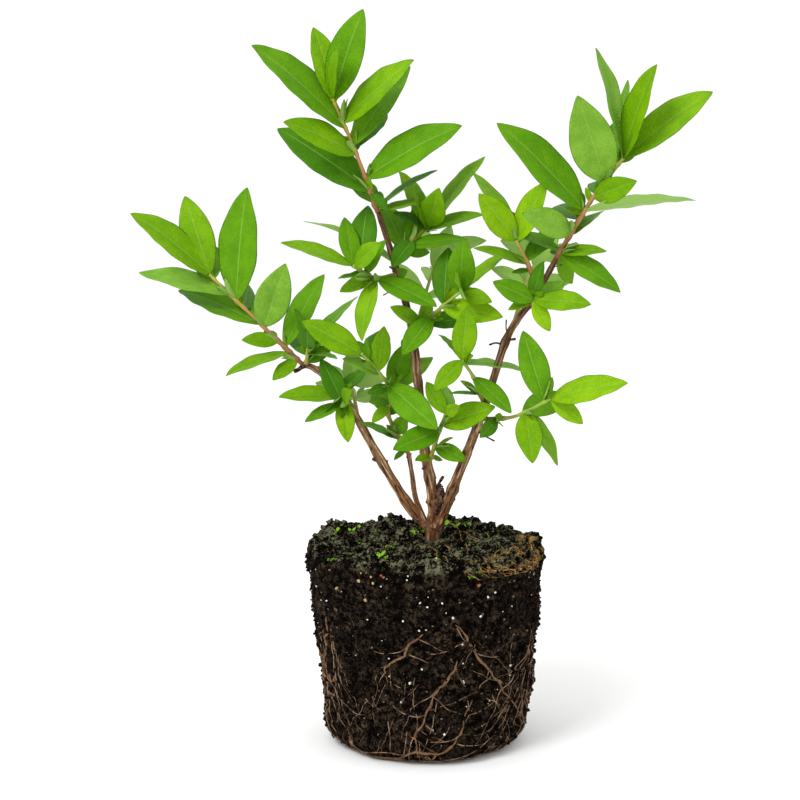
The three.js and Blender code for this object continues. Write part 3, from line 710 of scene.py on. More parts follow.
def side_spot(clock, height, out):
    """A point of the ball's side: degrees round from the front, its height, and how far it stands out."""
    angle = math.radians(clock)
    reach = ball_reach(angle, height)
    place = Vector((*round_from_front(angle, reach), height))
    scale = (reach + side_push(place) + out) / reach
    return Vector((place.x * scale, place.y * scale, height))


def top_spot(x, y, clump, out):
    """A point over a place on the ball's top, and how far it stands above it."""
    return Vector((x, y, BALL_HEIGHT + top_rise(x, y, clump) + out))


def sight_line(across, down):
    """The direction from the camera through a pixel of the picture."""
    middle = PICTURE_SIZE / 2
    view = Vector((across - middle, FOCAL_PIXELS, middle - down))
    return Matrix.Rotation(math.radians(-CAMERA_PITCH), 3, "X") @ view


def on_ball(pixel, clump, out):
    """The point of the ball that a pixel shows, or the nearest one where the view passes over the ball."""
    ahead = sight_line(*pixel)
    best = None
    for step in range(int(2 * SIGHT_REACH / SIGHT_STEP)):
        place = CAMERA_PLACE + ahead * ((SIGHT_STEP * step - SIGHT_REACH - CAMERA_PLACE.y) / ahead.y)
        away = math.hypot(place.x, place.y)
        angle = math.atan2(place.x, -place.y)
        height = min(max(place.z, 1.5), BALL_HEIGHT)
        above = place.z - BALL_HEIGHT
        if abs(above) < 12:
            above -= top_rise(place.x, place.y, clump)
        gap = max(above, away - ball_reach(angle, height))
        if best is None or gap < best[0]:
            best = (gap, place, angle, height)
        if gap <= 0:
            break
    gap, place, angle, height = best
    if height >= BALL_HEIGHT - 0.5:
        return top_spot(place.x, place.y, clump, out)
    return side_spot(math.degrees(angle), height, out)


def add_node(tree, kind, inputs=None, output=0, **settings):
    """Adds a node with its settings and links, and gives back one of its outputs."""
    node = tree.nodes.new("ShaderNode" + kind)
    for key, value in settings.items():
        setattr(node, key, value)
    for key, value in (inputs or {}).items():
        if isinstance(value, bpy.types.NodeSocket):
            tree.links.new(value, node.inputs[key])
        else:
            node.inputs[key].default_value = value
    return node.outputs[output] if len(node.outputs) else node


def start_material(name):
    """A new empty material, and the function that adds nodes to it."""
    material = bpy.data.materials.new(name)
    material.use_nodes = True
    material.node_tree.nodes.clear()
    return material, partial(add_node, material.node_tree)


def finish_material(add, colour, height, relief, roughness, specular):
    """Gives a material its colour, its gloss, and a relief whose full height is in millimetres."""
    normal = add("Bump", {"Height": height, "Distance": relief * METRES})
    shader = add("BsdfPrincipled", {
        "Base Color": colour, "Normal": normal, "Roughness": roughness, "Specular IOR Level": specular,
    })
    add("OutputMaterial", {"Surface": shader})


def grain(size):
    """The scale of a pattern on Object coordinates whose grains have a size in millimetres."""
    return 1 / (size * METRES)


# Leaf blade: a thin living leaf with a waxy skin, which gives a soft satin gloss and a pale sunken midrib
def leaf_material(name, upper, deep, under, vein_relief):
    material, add = start_material(name)
    leaf_map = add("UVMap", uv_map=MAP_NAME)
    u = add("SeparateXYZ", {0: leaf_map}, 0)
    v = add("SeparateXYZ", {0: leaf_map}, 1)
    is_under = add("Math", {0: u, 1: 0.5}, operation="GREATER_THAN")
    inward = add("Math", {0: u, 1: 0.25}, operation="PINGPONG")
    across = add("MapRange", {"Value": inward, "From Min": 0.25, "From Max": 0.01})
    midrib = add("MapRange", {"Value": across, "From Min": 0.055, "From Max": 0.012}, **SMOOTH)
    arch = add("Math", {0: across, 1: 0.8}, operation="POWER")
    rows = add("Math", {0: v, 1: 7.0}, operation="MULTIPLY")
    rows = add("Math", {0: arch, 1: -1.9, 2: rows}, operation="MULTIPLY_ADD")
    to_vein = add("Math", {0: rows, 1: 0.5}, operation="PINGPONG")
    vein = add("MapRange", {"Value": to_vein, "From Min": 0.08, "From Max": 0.0}, **SMOOTH)
    fade = add("MapRange", {"Value": across, "From Min": 0.95, "From Max": 0.5}, **SMOOTH)
    vein = add("Math", {0: vein, 1: fade}, operation="MULTIPLY")
    place = add("TexCoord", output=OBJECT_PLACE)
    mottle = add("TexNoise", {"Vector": leaf_map, "Scale": 7.0, "Detail": 5.0, "Roughness": 0.6})
    spread = add("TexNoise", {"Vector": place, "Scale": grain(16.0), "Detail": 1.0})
    mottle = add("Math", {0: spread, 1: 0.8, 2: mottle}, operation="MULTIPLY_ADD")
    speckle = add("TexNoise", {"Vector": place, "Scale": grain(0.8), "Detail": 2.0, "Roughness": 0.7})
    mottle = add("Math", {0: speckle, 1: 1.1, 2: mottle}, operation="MULTIPLY_ADD")
    tone = add("MapRange", {"Value": mottle, "From Min": 1.18, "From Max": 1.7}, **SMOOTH)
    cells = add("TexVoronoi", {"Vector": leaf_map, "Scale": 46.0})
    blade = add("Mix", {SHARE: tone, FIRST: (*upper, 1), SECOND: (*deep, 1)}, **BLEND)
    vein_tint = add("Math", {0: vein, 1: 0.07}, operation="MULTIPLY")
    blade = add("Mix", {SHARE: vein_tint, FIRST: blade, SECOND: (*under, 1)}, **BLEND)
    rib_tint = add("Math", {0: midrib, 1: 0.38}, operation="MULTIPLY")
    blade = add("Mix", {SHARE: rib_tint, FIRST: blade, SECOND: (*under, 1)}, **BLEND)
    pale = tuple(0.75 * c + 0.1 for c in under)
    under_tint = add("Math", {0: vein, 1: 0.25}, operation="MULTIPLY")
    under_tint = add("Math", {0: under_tint, 1: midrib}, operation="MAXIMUM")
    below = add("Mix", {SHARE: under_tint, FIRST: (*under, 1), SECOND: (*pale, 1)}, **BLEND)
    colour = add("Mix", {SHARE: is_under, FIRST: blade, SECOND: below}, **BLEND)
    height = add("Math", {0: vein, 1: -0.35, 2: cells}, operation="MULTIPLY_ADD")
    finish_material(add, colour, height, relief=vein_relief, roughness=0.55, specular=0.08)
    return material


# Old bark: thin, dry and stringy, peeling in long strips, so it is matt with light lips and dark cracks
def bark_material(name, brown, dark, light, warm):
    material, add = start_material(name)
    bark_map_spot = add("UVMap", uv_map=MAP_NAME)
    u = add("SeparateXYZ", {0: bark_map_spot}, 0)
    v = add("SeparateXYZ", {0: bark_map_spot}, 1)
    turn = add("Math", {0: u, 1: BARK_COLUMNS * 2 * math.pi}, operation="MULTIPLY")
    x = add("Math", {0: add("Math", {0: turn}, operation="COSINE"), 1: 3.0}, operation="MULTIPLY")
    y = add("Math", {0: add("Math", {0: turn}, operation="SINE"), 1: 3.0}, operation="MULTIPLY")
    run = add("Math", {0: v, 1: BARK_RANGE}, operation="MULTIPLY")
    z = add("Math", {0: run, 1: 0.15, 2: u}, operation="MULTIPLY_ADD")
    stretched = add("CombineXYZ", {0: x, 1: y, 2: z})
    strips = add("TexNoise", {"Vector": stretched, "Scale": 0.62, "Detail": 5.0, "Roughness": 0.68})
    squat = add("CombineXYZ", {0: x, 1: y, 2: run})
    patches = add("TexNoise", {"Vector": squat, "Scale": 0.3, "Detail": 3.0, "Roughness": 0.6})
    cracked = add("MapRange", {"Value": strips, "From Min": 0.36, "From Max": 0.49}, **SMOOTH)
    lifted = add("MapRange", {"Value": strips, "From Min": 0.52, "From Max": 0.64}, **SMOOTH)
    blotch = add("MapRange", {"Value": patches, "From Min": 0.57, "From Max": 0.7}, **SMOOTH)
    place = add("TexCoord", output=OBJECT_PLACE)
    up = add("SeparateXYZ", {0: place}, 2)
    low = add("MapRange", {
        "Value": up,
        "From Min": (BALL_HEIGHT + 40) * METRES,
        "From Max": (BALL_HEIGHT + 4) * METRES,
        "To Max": 0.9,
    }, **SMOOTH)
    colour = add("Mix", {SHARE: low, FIRST: (*brown, 1), SECOND: (*warm, 1)}, **BLEND)
    colour = add("Mix", {SHARE: cracked, FIRST: (*dark, 1), SECOND: colour}, **BLEND)
    colour = add("Mix", {SHARE: lifted, FIRST: colour, SECOND: (*light, 1)}, **BLEND)
    blotch_and_shade = add("Math", {0: blotch, 1: 0.75}, operation="MULTIPLY")
    high = add("MapRange", {
        "Value": up,
        "From Min": (BALL_HEIGHT + 66) * METRES,
        "From Max": (BALL_HEIGHT + 92) * METRES,
        "To Max": 0.44,
    }, **SMOOTH)
    blotch_and_shade = add("Math", {0: blotch_and_shade, 1: high}, operation="MAXIMUM")
    # Darker towards the peat: painted shade at the foot of the stems, together with peat dust
    painted_foot_shade_and_dust = add("MapRange", {
        "Value": up,
        "From Min": (BALL_HEIGHT + 24) * METRES,
        "From Max": BALL_HEIGHT * METRES,
        "To Max": 0.55,
    }, **SMOOTH)
    blotch_and_shade = add("Math", {0: blotch_and_shade, 1: painted_foot_shade_and_dust}, operation="MAXIMUM")
    # The blotches, the darker upper stems and the painted shade at the foot all pull towards the crack colour
    colour = add("Mix", {SHARE: blotch_and_shade, FIRST: colour, SECOND: (*dark, 1)}, **BLEND)
    finish_material(add, colour, strips, relief=0.9, roughness=0.85, specular=0.12)
    return material


# Young shoot: smooth green skin that turns to tan bark towards its foot, with a slight gloss
def shoot_material(name, foot, middle, tip):
    material, add = start_material(name)
    shoot_map = add("UVMap", uv_map=MAP_NAME)
    u = add("SeparateXYZ", {0: shoot_map}, 0)
    v = add("SeparateXYZ", {0: shoot_map}, 1)
    around = add("Math", {0: u, 1: 10.0}, operation="MULTIPLY")
    along = add("Math", {0: v, 1: 14.0}, operation="MULTIPLY")
    skin = add("CombineXYZ", {0: around, 1: along})
    streaks = add("TexNoise", {"Vector": skin, "Scale": 1.4, "Detail": 4.0})
    ripe = add("Math", {0: streaks, 1: 0.6, 2: v}, operation="MULTIPLY_ADD")
    barked = add("MapRange", {"Value": ripe, "From Min": 0.3, "From Max": 0.75})
    greened = add("MapRange", {"Value": ripe, "From Min": 0.8, "From Max": 1.25})
    colour = add("Mix", {SHARE: barked, FIRST: (*foot, 1), SECOND: (*middle, 1)}, **BLEND)
    colour = add("Mix", {SHARE: greened, FIRST: colour, SECOND: (*tip, 1)}, **BLEND)
    finish_material(add, colour, streaks, relief=0.25, roughness=0.55, specular=0.2)
    return material


# Potting peat: moist, crumbly and full of fibres, nearly black with brown grains and no gloss, mossy on top.
# The relief of its cobbles is painted into the colour: painted shade in the creases, painted light on raised
# cobbles
def peat_material(name, dark, brown, fibre, mossy):
    material, add = start_material(name)
    place = add("TexCoord", output=OBJECT_PLACE)
    # The cobbles' relief, read from the mesh, paints the creases darker and the raised cobbles lighter
    lumps = add("Attribute", output=FACTOR, attribute_name=RELIEF_NAME)
    grains = add("TexNoise", {"Vector": place, "Scale": grain(2.2), "Detail": 5.0, "Roughness": 0.7})
    grains = add("Math", {0: lumps, 1: 0.3, 2: grains}, operation="MULTIPLY_ADD")
    fine = add("TexNoise", {"Vector": place, "Scale": grain(1.0), "Detail": 2.0, "Roughness": 0.6})
    grains = add("Math", {0: fine, 1: 0.6, 2: grains}, operation="MULTIPLY_ADD")
    specks = add("TexNoise", {"Vector": place, "Scale": grain(1.3), "Detail": 3.0, "Roughness": 0.6})
    patches = add("TexNoise", {"Vector": place, "Scale": grain(12.0), "Detail": 3.0})
    up = add("SeparateXYZ", {0: place}, 2)
    on_top = add("MapRange", {
        "Value": up, "From Min": (BALL_HEIGHT - 4) * METRES, "From Max": (BALL_HEIGHT + 1) * METRES,
    }, **SMOOTH)
    tuft = add("Math", {0: patches, 1: 0.7, 2: grains}, operation="MULTIPLY_ADD")
    tuft = add("MapRange", {"Value": tuft, "From Min": 1.14, "From Max": 1.34}, **SMOOTH)
    tuft = add("Math", {0: tuft, 1: on_top}, operation="MULTIPLY")
    # Brown on the grains and on the raised cobbles as painted light, near black in the painted shade of the
    # creases
    raised = add("MapRange", {"Value": grains, "From Min": 0.74, "From Max": 1.02}, **SMOOTH)
    dry = add("MapRange", {"Value": patches, "From Min": 0.4, "From Max": 0.64}, **SMOOTH)
    bright = add("MapRange", {"Value": specks, "From Min": 0.6, "From Max": 0.76}, **SMOOTH)
    bright = add("Math", {0: bright, 1: raised}, operation="MULTIPLY")
    bright = add("Math", {0: bright, 1: 0.7}, operation="MULTIPLY")
    dusty = tuple(0.8 * b + 0.2 * f for b, f in zip(brown, fibre))
    lump = add("Mix", {SHARE: dry, FIRST: (*brown, 1), SECOND: (*dusty, 1)}, **BLEND)
    colour = add("Mix", {SHARE: raised, FIRST: (*dark, 1), SECOND: lump}, **BLEND)
    colour = add("Mix", {SHARE: tuft, FIRST: colour, SECOND: (*mossy, 1)}, **BLEND)
    colour = add("Mix", {SHARE: bright, FIRST: colour, SECOND: (*fibre, 1)}, **BLEND)
    height = add("Math", {0: specks, 1: 0.5, 2: grains}, operation="MULTIPLY_ADD")
    finish_material(add, colour, height, relief=2.4, roughness=0.95, specular=0.02)
    return material


# Plain natural grains, roots and moss: one colour that varies from grain to grain, with fine relief
def mottled_material(name, low, high, size, roughness, relief):
    material, add = start_material(name)
    place = add("TexCoord", output=OBJECT_PLACE)
    grains = add("TexNoise", {"Vector": place, "Scale": grain(size), "Detail": 4.0})
    share = add("MapRange", {"Value": grains, "From Min": 0.38, "From Max": 0.62})
    colour = add("Mix", {SHARE: share, FIRST: (*low, 1), SECOND: (*high, 1)}, **BLEND)
    finish_material(add, colour, grains, relief, roughness, specular=0.12)
    return material


def new_mesh():
    """A new empty mesh with a map."""
    bm = bmesh.new()
    return bm, bm.loops.layers.uv.new(MAP_NAME)


def finish_piece(name, bm, material, replaced=()):
    """Welds a piece, brings it to metres, and hangs it on the plant's one body."""
    bmesh.ops.remove_doubles(bm, verts=bm.verts, dist=1e-4)
    bmesh.ops.scale(bm, vec=Vector((METRES, METRES, METRES)), verts=bm.verts)
    mesh = bpy.data.meshes.new(name)
    bm.to_mesh(mesh)
    bm.free()
    mesh.polygons.foreach_set("use_smooth", [True] * len(mesh.polygons))
    mesh.materials.append(material)
    piece = bpy.data.objects.new(name, mesh)
    bpy.context.scene.collection.objects.link(piece)
    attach(piece, "root")
    if replaced:
        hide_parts(*replaced)


def grid_spots(bm, columns, rows):
    """A new flat grid, and the column and row of each of its vertices."""
    made = bmesh.ops.create_grid(bm, x_segments=columns, y_segments=rows, size=0.5)["verts"]
    return {vert: (round((vert.co.x + 0.5) * columns), round((vert.co.y + 0.5) * rows)) for vert in made}


def lay_map(layer, spots, place):
    """Puts the corners of a grid's faces on the map, each where its column and row belong."""
    for face in {face for vert in spots for face in vert.link_faces}:
        for loop in face.loops:
            loop[layer].uv = place(*spots[loop.vert])


def tube(bm, layer, path, radius_at, sides, steps, map_place=None):
    """A closed tube along a smooth path: a grid that is wrapped round, with both ends drawn to a point."""
    alongs = [0.0, *[i / steps for i in range(steps + 1)], 1.0]
    centres = [point_on(path, along) for along in alongs]
    tangents = [direction_on(path, along) for along in alongs]
    side = tangents[0].cross(RING_START).normalized()
    frames = []
    for tangent in tangents:
        side = (side - tangent * side.dot(tangent)).normalized()
        frames.append((side, tangent.cross(side)))
    spots = grid_spots(bm, sides, len(alongs) - 1)
    if map_place:
        lay_map(layer, spots, lambda column, row: map_place(column / sides, alongs[row]))
    for vert, (column, row) in spots.items():
        ends = row in (0, len(alongs) - 1)
        angle = 2 * math.pi * (column % sides) / sides
        side, out = frames[row]
        reach = 0.0 if ends else radius_at(alongs[row], angle)
        vert.co = centres[row] + side * (reach * math.cos(angle)) + out * (reach * math.sin(angle))


def bark_map(column, length):
    """The function that places a turn round a stem and a share of its length on the bark's map."""
    def place(around, along):
        return ((column + 0.02 + 0.96 * around) / BARK_COLUMNS, 0.02 + along * length / BARK_RANGE)
    return place


def bark_relief(turn, along, strength, seed):
    """Peeling strips: ridges that run along the stem, and here and there a loose flake."""
    place = Vector((1.5 * math.cos(turn), 1.5 * math.sin(turn), along / 17.0))
    strips = noise.noise(place * 1.4 + Vector((seed, 0, 0)))
    fine = noise.noise(Vector((4 * math.cos(turn), 4 * math.sin(turn), along / 6.0 + seed)))
    flake = max(0.0, noise.noise(place * Vector((1, 1, 0.6)).length + Vector((0, seed, 9))) - 0.25)
    return strength * (strips + 0.5 * fine + 1.6 * flake)


def add_stem(bm, layer, column, name, path, ridge):
    """One stem with its taper, its swollen nodes and its peeling bark."""
    foot, tip = STEMS[name][1]
    length = path_length(path)
    draw = seeded(STEM_SEED + column)
    knots = [(i + 0.25 + 0.5 * next(draw)) / STEM_NODES for i in range(STEM_NODES)]
    dark_knots = [along for stem, along, size in KNOTS if stem == name]

    def radius_at(along, turn):
        radius = (foot + (tip - foot) * along) * (0.8 + 0.2 * smooth_step(along * length, 0, 12))
        swell = sum(math.exp(-(((along - knot) * length / 2.2) ** 2)) for knot in knots)
        knob = sum(math.exp(-(((along - knot) * length / 2.6) ** 2)) for knot in dark_knots)
        wear = ridge * (1.1 - 0.7 * along) * min(1.0, radius / 2.4)
        radius *= 0.96 + 0.11 * swell + 0.2 * knob
        return radius + bark_relief(turn, along * length, wear, 3.0 * column)

    tube(bm, layer, path, radius_at, 28, int(length * 1.1), bark_map(column, length))


def add_trunk(bm, layer, ridge):
    """The flared foot, cut level just above the peat, with the knotty crown where the stems part."""
    x, y = TRUNK_FOOT
    foot = Vector((x, y, BALL_HEIGHT - 1.5))
    top = Vector((x + 1, y - 1, BALL_HEIGHT + TRUNK_HEIGHT))

    def radius_at(along, turn):
        flare = TRUNK_NECK_RADIUS + (TRUNK_FLARE_RADIUS - TRUNK_NECK_RADIUS) * (1 - along) ** 3
        lobes = 0.4 * math.sin(3 * turn + 1) * (1 - 0.5 * along) + 0.35 * math.sin(5 * turn + 4 * along)
        closed = 1 - 0.5 * smooth_step(along, 0.6, 1)
        return (flare + lobes) * closed + bark_relief(turn, along * TRUNK_HEIGHT, 1.5 * ridge, 41.0)

    tube(bm, layer, [foot, foot.lerp(top, 0.5), top], radius_at, 48, 34, bark_map(0, TRUNK_HEIGHT))


def add_burl(bm, layer, ridge):
    """The knotty swelling between the two thickest stems."""
    def radius_at(along, turn):
        round_over = math.sin(math.pi * (0.12 + 0.8 * along))
        knobs = noise.noise(Vector((1.3 * math.cos(turn), 1.3 * math.sin(turn), 6 * along)))
        return BURL_RADIUS * (round_over + 0.6 * knobs) + bark_relief(turn, 20 * along, ridge, 17.0)

    tube(bm, layer, BURL_PATH, radius_at, 24, 22, bark_map(0, 20))


def knot_lumps(path, along, radius, size, seed):
    """The dark crust round a knot."""
    draw = seeded(seed)
    ahead = direction_on(path, along)
    side = ahead.cross(RING_START).normalized()
    lumps = []
    for number in range(KNOT_LUMPS):
        out = Matrix.Rotation(2 * math.pi * next(draw), 3, ahead) @ side
        place = point_on(path, along) + ahead * (2.4 * size * (next(draw) - 0.5)) + out * (0.9 * radius)
        lumps.append((place, size * (0.5 + 0.5 * next(draw)), FINE_LUMP, seed * 10 + number))
    return lumps


def add_stub(bm, layer, foot, direction, length, radius, seed):
    """A dead stub: a short crooked peg with a blunt broken end."""
    draw = seeded(seed)
    bent = jitter(draw) * (0.25 * length)
    path = [foot, foot + direction * (0.5 * length) + bent, foot + direction * length]

    def radius_at(along, turn):
        knob = 0.25 * math.exp(-(((along - 0.9) / 0.15) ** 2)) + 0.5 * math.exp(-((along / 0.2) ** 2))
        broken = 0.2 * noise.noise(Vector((math.cos(turn), 4 * along, seed)))
        return radius * (0.85 - 0.3 * along + knob + broken)

    tube(bm, layer, path, radius_at, 9, 10)


def blade_shape(draw, length):
    """What makes a leaf differ from the next one: how it folds, droops, twists and ripples."""
    return {
        "fold": LEAF_FOLD + 6 * (next(draw) - 0.4),
        "bow": LEAF_BOW + 12 * (next(draw) - 0.35),
        "twist": 0.35 * (next(draw) - 0.5),
        "ripple": 0.006 * length * (0.4 + next(draw)),
        "waves": 2.0 + 2.5 * next(draw),
        "phase": ABOUT_A_TURN * next(draw),
        "droop": 0.10 * length * next(draw),
        "lopsided": 0.06 * (next(draw) - 0.5),
    }


def blade_point(leaf, share, across, under):
    """A point on the upper or lower skin of a leaf, across it from -1 at one margin to 1 at the other."""
    length = leaf["length"]
    half = leaf_half_width(share, length) if share < 1 else 0.0
    wide = half * across * (1 + leaf["lopsided"] * (1 if across > 0 else -1) * math.sin(3 * share))
    margin = abs(across) ** 3
    full = smooth_step(share, 0.05, 0.3)
    above = leaf["ripple"] * margin * full * math.sin(leaf["waves"] * 2 * math.pi * share + leaf["phase"])
    above -= 0.05 * half * margin
    above += leaf["twist"] * wide * share
    above -= leaf["droop"] * max(0.0, share - 0.55) ** 2 * 2.2
    middle = math.exp(-((wide / 0.55) ** 2))
    if under:
        thick = 0.5 * BLADE_THICKNESS * (1 - margin) + MIDRIB_THICKNESS * middle * (1 - share) ** 0.6
        above -= thick * min(1.0, share / 0.02, (1 - share) / 0.03)
    else:
        above += 0.5 * BLADE_THICKNESS * (1 - margin) * min(1.0, share / 0.02, (1 - share) / 0.03)
        above -= 0.22 * middle * full * (1 - margin) * (1 - share)
    return leaf_point(leaf, share, wide, above)


def add_leaf(bm, layer, leaf, columns=LEAF_COLUMNS, rows=LEAF_ROWS):
    """One leaf as two thin skins that meet at the margin, each with its own half of the map."""
    for under in (False, True):
        spots = grid_spots(bm, len(columns) - 1, len(rows) - 1)
        middle = 0.25 + 0.5 * under
        lay_map(layer, spots, lambda column, row: (middle + 0.24 * columns[column], rows[row]))
        for vert, (column, row) in spots.items():
            vert.co = blade_point(leaf, rows[row], columns[column], under)
        if under:
            bmesh.ops.reverse_faces(bm, faces=list({face for vert in spots for face in vert.link_faces}))


def axil_leaves(path, leaves, draw):
    """The small young leaves that rise between the shoot and some of its grown leaves."""
    small = []
    for leaf in leaves:
        if leaf["length"] < 1.6 * AXIL_LEAF or leaf["at"] > 0.95 or next(draw) > AXIL_SHARE:
            continue
        ahead = direction_on(path, leaf["at"])
        sideways = ahead.cross(leaf["ahead"]).normalized()
        size = AXIL_LEAF * (0.65 + 0.6 * next(draw))
        for side in (-1, 1):
            spread = AXIL_OPENING * side * (0.6 + 0.8 * next(draw))
            direction = (ahead * (0.8 + next(draw)) + leaf["ahead"] + sideways * spread).normalized()
            face = (ahead - direction * ahead.dot(direction)).normalized()
            small.append({
                "base": leaf["base"] + leaf["ahead"] * TWIG_BASE_RADIUS,
                "length": size * (0.8 + 0.3 * next(draw)),
                "ahead": direction,
                "face": face,
                **blade_shape(draw, size),
            })
    return small


def add_shoot(bm, layer, path, leaves):
    """A young shoot with a swollen node under each leaf, and a bud at its tip."""
    length = path_length(path)
    nodes = sorted({leaf["at"] for leaf in leaves})

    def radius_at(along, turn):
        radius = TWIG_BASE_RADIUS + (TWIG_TIP_RADIUS - TWIG_BASE_RADIUS) * along
        swell = max(math.exp(-(((along - node) * length / 1.5) ** 2)) for node in nodes)
        return radius * (0.92 + 0.4 * swell + 0.08 * math.sin(2 * turn + 9 * along))

    tube(bm, layer, path, radius_at, 10, max(12, int(length * 0.9)), lambda around, along: (around, along))


def add_lump(bm, place, size, finer, seed):
    """A crumb or grain: a small sphere, squeezed and turned by a seeded draw, with a rough surface."""
    draw = seeded(seed)
    spin = Matrix.Rotation(ABOUT_A_TURN * next(draw), 3, "Z")
    turn = spin @ Matrix.Rotation(ABOUT_A_TURN * next(draw), 3, "X")
    squeeze = Vector((1.1, 0.7 + 0.5 * next(draw), 0.6 + 0.5 * next(draw)))
    made = bmesh.ops.create_icosphere(bm, subdivisions=finer, radius=size)["verts"]
    for vert in made:
        reach = 1 + 0.6 * noise.noise(vert.co * (1.1 / size) + Vector((seed % 97, 0, 0)))
        vert.co = place + turn @ (vert.co * squeeze * reach)


def add_lumps(bm, lumps):
    """Adds many lumps in small batches, because an operator gets slow in a mesh that is already large."""
    for first in range(0, len(lumps), LUMP_BATCH):
        batch = bmesh.new()
        for lump in lumps[first:first + LUMP_BATCH]:
            add_lump(batch, *lump)
        mesh = bpy.data.meshes.new("batch")
        batch.to_mesh(mesh)
        batch.free()
        bm.from_mesh(mesh)
        bpy.data.meshes.remove(mesh)


def lump_mesh(lumps):
    """A new mesh of nothing but lumps."""
    bm = bmesh.new()
    add_lumps(bm, lumps)
    return bm


def wandering_root(draw, clock, height, length, heading, bend=40):
    """A fine root that wanders over the side by a seeded rule, mostly downwards."""
    path = []
    steps = max(4, int(length / 3.5))
    for i in range(steps + 1):
        out = 0.25 + 0.4 * next(draw) if 0 < i < steps else -0.8
        path.append(side_spot(clock, min(max(height, 1.2), BALL_HEIGHT - 0.5), out))
        heading += math.radians(bend) * (next(draw) - 0.5)
        clock += math.degrees(length / steps * math.sin(heading) / ball_radius(height))
        height -= length / steps * math.cos(heading)
        if height < 2:
            heading = math.copysign(math.radians(80), math.sin(heading))
    return path


def laid(place, clump, out):
    """The point of the ball's surface nearest a place, and how far it stands out."""
    if place.z > BALL_HEIGHT - 1:
        return top_spot(place.x, place.y, clump, out)
    return side_spot(ball_clock(place), max(place.z, 1.2), out)


def crooked(path, draw, sway, clump, out):
    """The same path with bends between its points, laid on the ball again."""
    bent = [path[0]]
    for first, last in zip(path, path[1:]):
        for share in (0.33, 0.67):
            off = jitter(draw) * (2 * sway)
            bent.append(laid(first.lerp(last, share) + off, clump, out))
        bent.append(last)
    return bent


def rim_root(draw, clump):
    """A fibre of the mat that hangs over one part of the rim."""
    first, last = MAT_CLOCKS
    clock = first + (last - first) * next(draw) ** 0.6
    over = 9 * (next(draw) - 0.28)
    heading = math.radians(150) * (next(draw) - 0.5)
    path = []
    for i in range(4 + int(5 * next(draw))):
        out = 0.2 + 0.9 * next(draw)
        if over < 0:
            path.append(side_spot(clock, BALL_HEIGHT + over - 1, out))
        else:
            away = BALL_TOP_RADIUS - RIM_ROUND - over
            path.append(top_spot(*round_from_front(math.radians(clock), away), clump, out))
        heading += math.radians(60) * (next(draw) - 0.5)
        clock += 3.0 * math.cos(heading)
        over = min(max(over + 2.2 * math.sin(heading), -5), 9)
    return path


def add_root(bm, layer, path, radius, sides, steps, gnarl=0.0):
    """A root that tapers, and where it is old has a gnarled skin."""
    def radius_at(along, turn):
        knobs = gnarl * noise.noise(Vector((math.cos(turn), math.sin(turn), 14 * along)) + path[0])
        thin_start = 1 - gnarl * (1 - smooth_step(along, 0, 0.25))
        return radius * (1 - 0.6 * along + knobs) * thin_start

    tube(bm, layer, path, radius_at, sides, steps)


def add_seedling(bm, layer, foot, draw):
    """Two or three small round leaves, low over the peat."""
    turned = 360 * next(draw)
    for number in range(2 + int(2 * next(draw))):
        turn = math.radians(turned + 140 * number)
        ahead = Vector((math.cos(turn), math.sin(turn), 0.7 + 0.5 * next(draw))).normalized()
        sky = Vector((0, -0.4, 1))
        face = (sky - ahead * ahead.dot(sky)).normalized()
        length = 2.8 + 1.6 * next(draw)
        add_leaf(bm, layer, {
            "base": foot, "ahead": ahead, "face": face, "length": length, **blade_shape(draw, length),
        })


colour_property = partial(FloatVectorProperty, subtype="COLOR", size=3)


class HaskapWood(bpy.types.PropertyGroup):
    bark: colour_property(name="Bark", description="Colour of the old bark", default=linear("#7e5c40"))
    # The crack colour also paints the shade at the foot of the stems, near the peat
    bark_cracks: colour_property(
        name="Cracks", description="Colour in the cracks and at knots", default=linear("#2e1a10"))
    bark_lips: colour_property(
        name="Lips", description="Colour of the loose strips", default=linear("#cba985"))
    bark_warm: colour_property(
        name="Foot", description="Colour of the bark just above the peat", default=linear("#7c4e29"))
    ridge: FloatProperty(
        name="Ridge height", description="How far the bark's strips stand out, in millimetres",
        default=0.32, min=0.0, max=1.0)


class HaskapLeaves(bpy.types.PropertyGroup):
    young: colour_property(
        name="Young", description="Colour of the youngest leaves", default=linear("#86b20c"))
    fresh: colour_property(
        name="Fresh", description="Colour of leaves of this spring", default=linear("#74a208"))
    grown: colour_property(
        name="Grown", description="Colour of full-grown leaves", default=linear("#5f930b"))
    # The darkest leaves: an old leaf's deep green, darkened further as painted shade for leaves in the
    # crown's shadow
    deep: colour_property(
        name="Deep", description="Colour of the darkest leaves", default=linear("#4a7e10"))
    pale: colour_property(
        name="Pale", description="Colour of leaves that show their matt side", default=linear("#80ae38"))
    underside: colour_property(
        name="Underside", description="Colour of the undersides", default=linear("#8fb654"))
    vein_relief: FloatProperty(
        name="Vein relief", description="Depth of the net of veins, in millimetres",
        default=0.2, min=0.0, max=1.0)


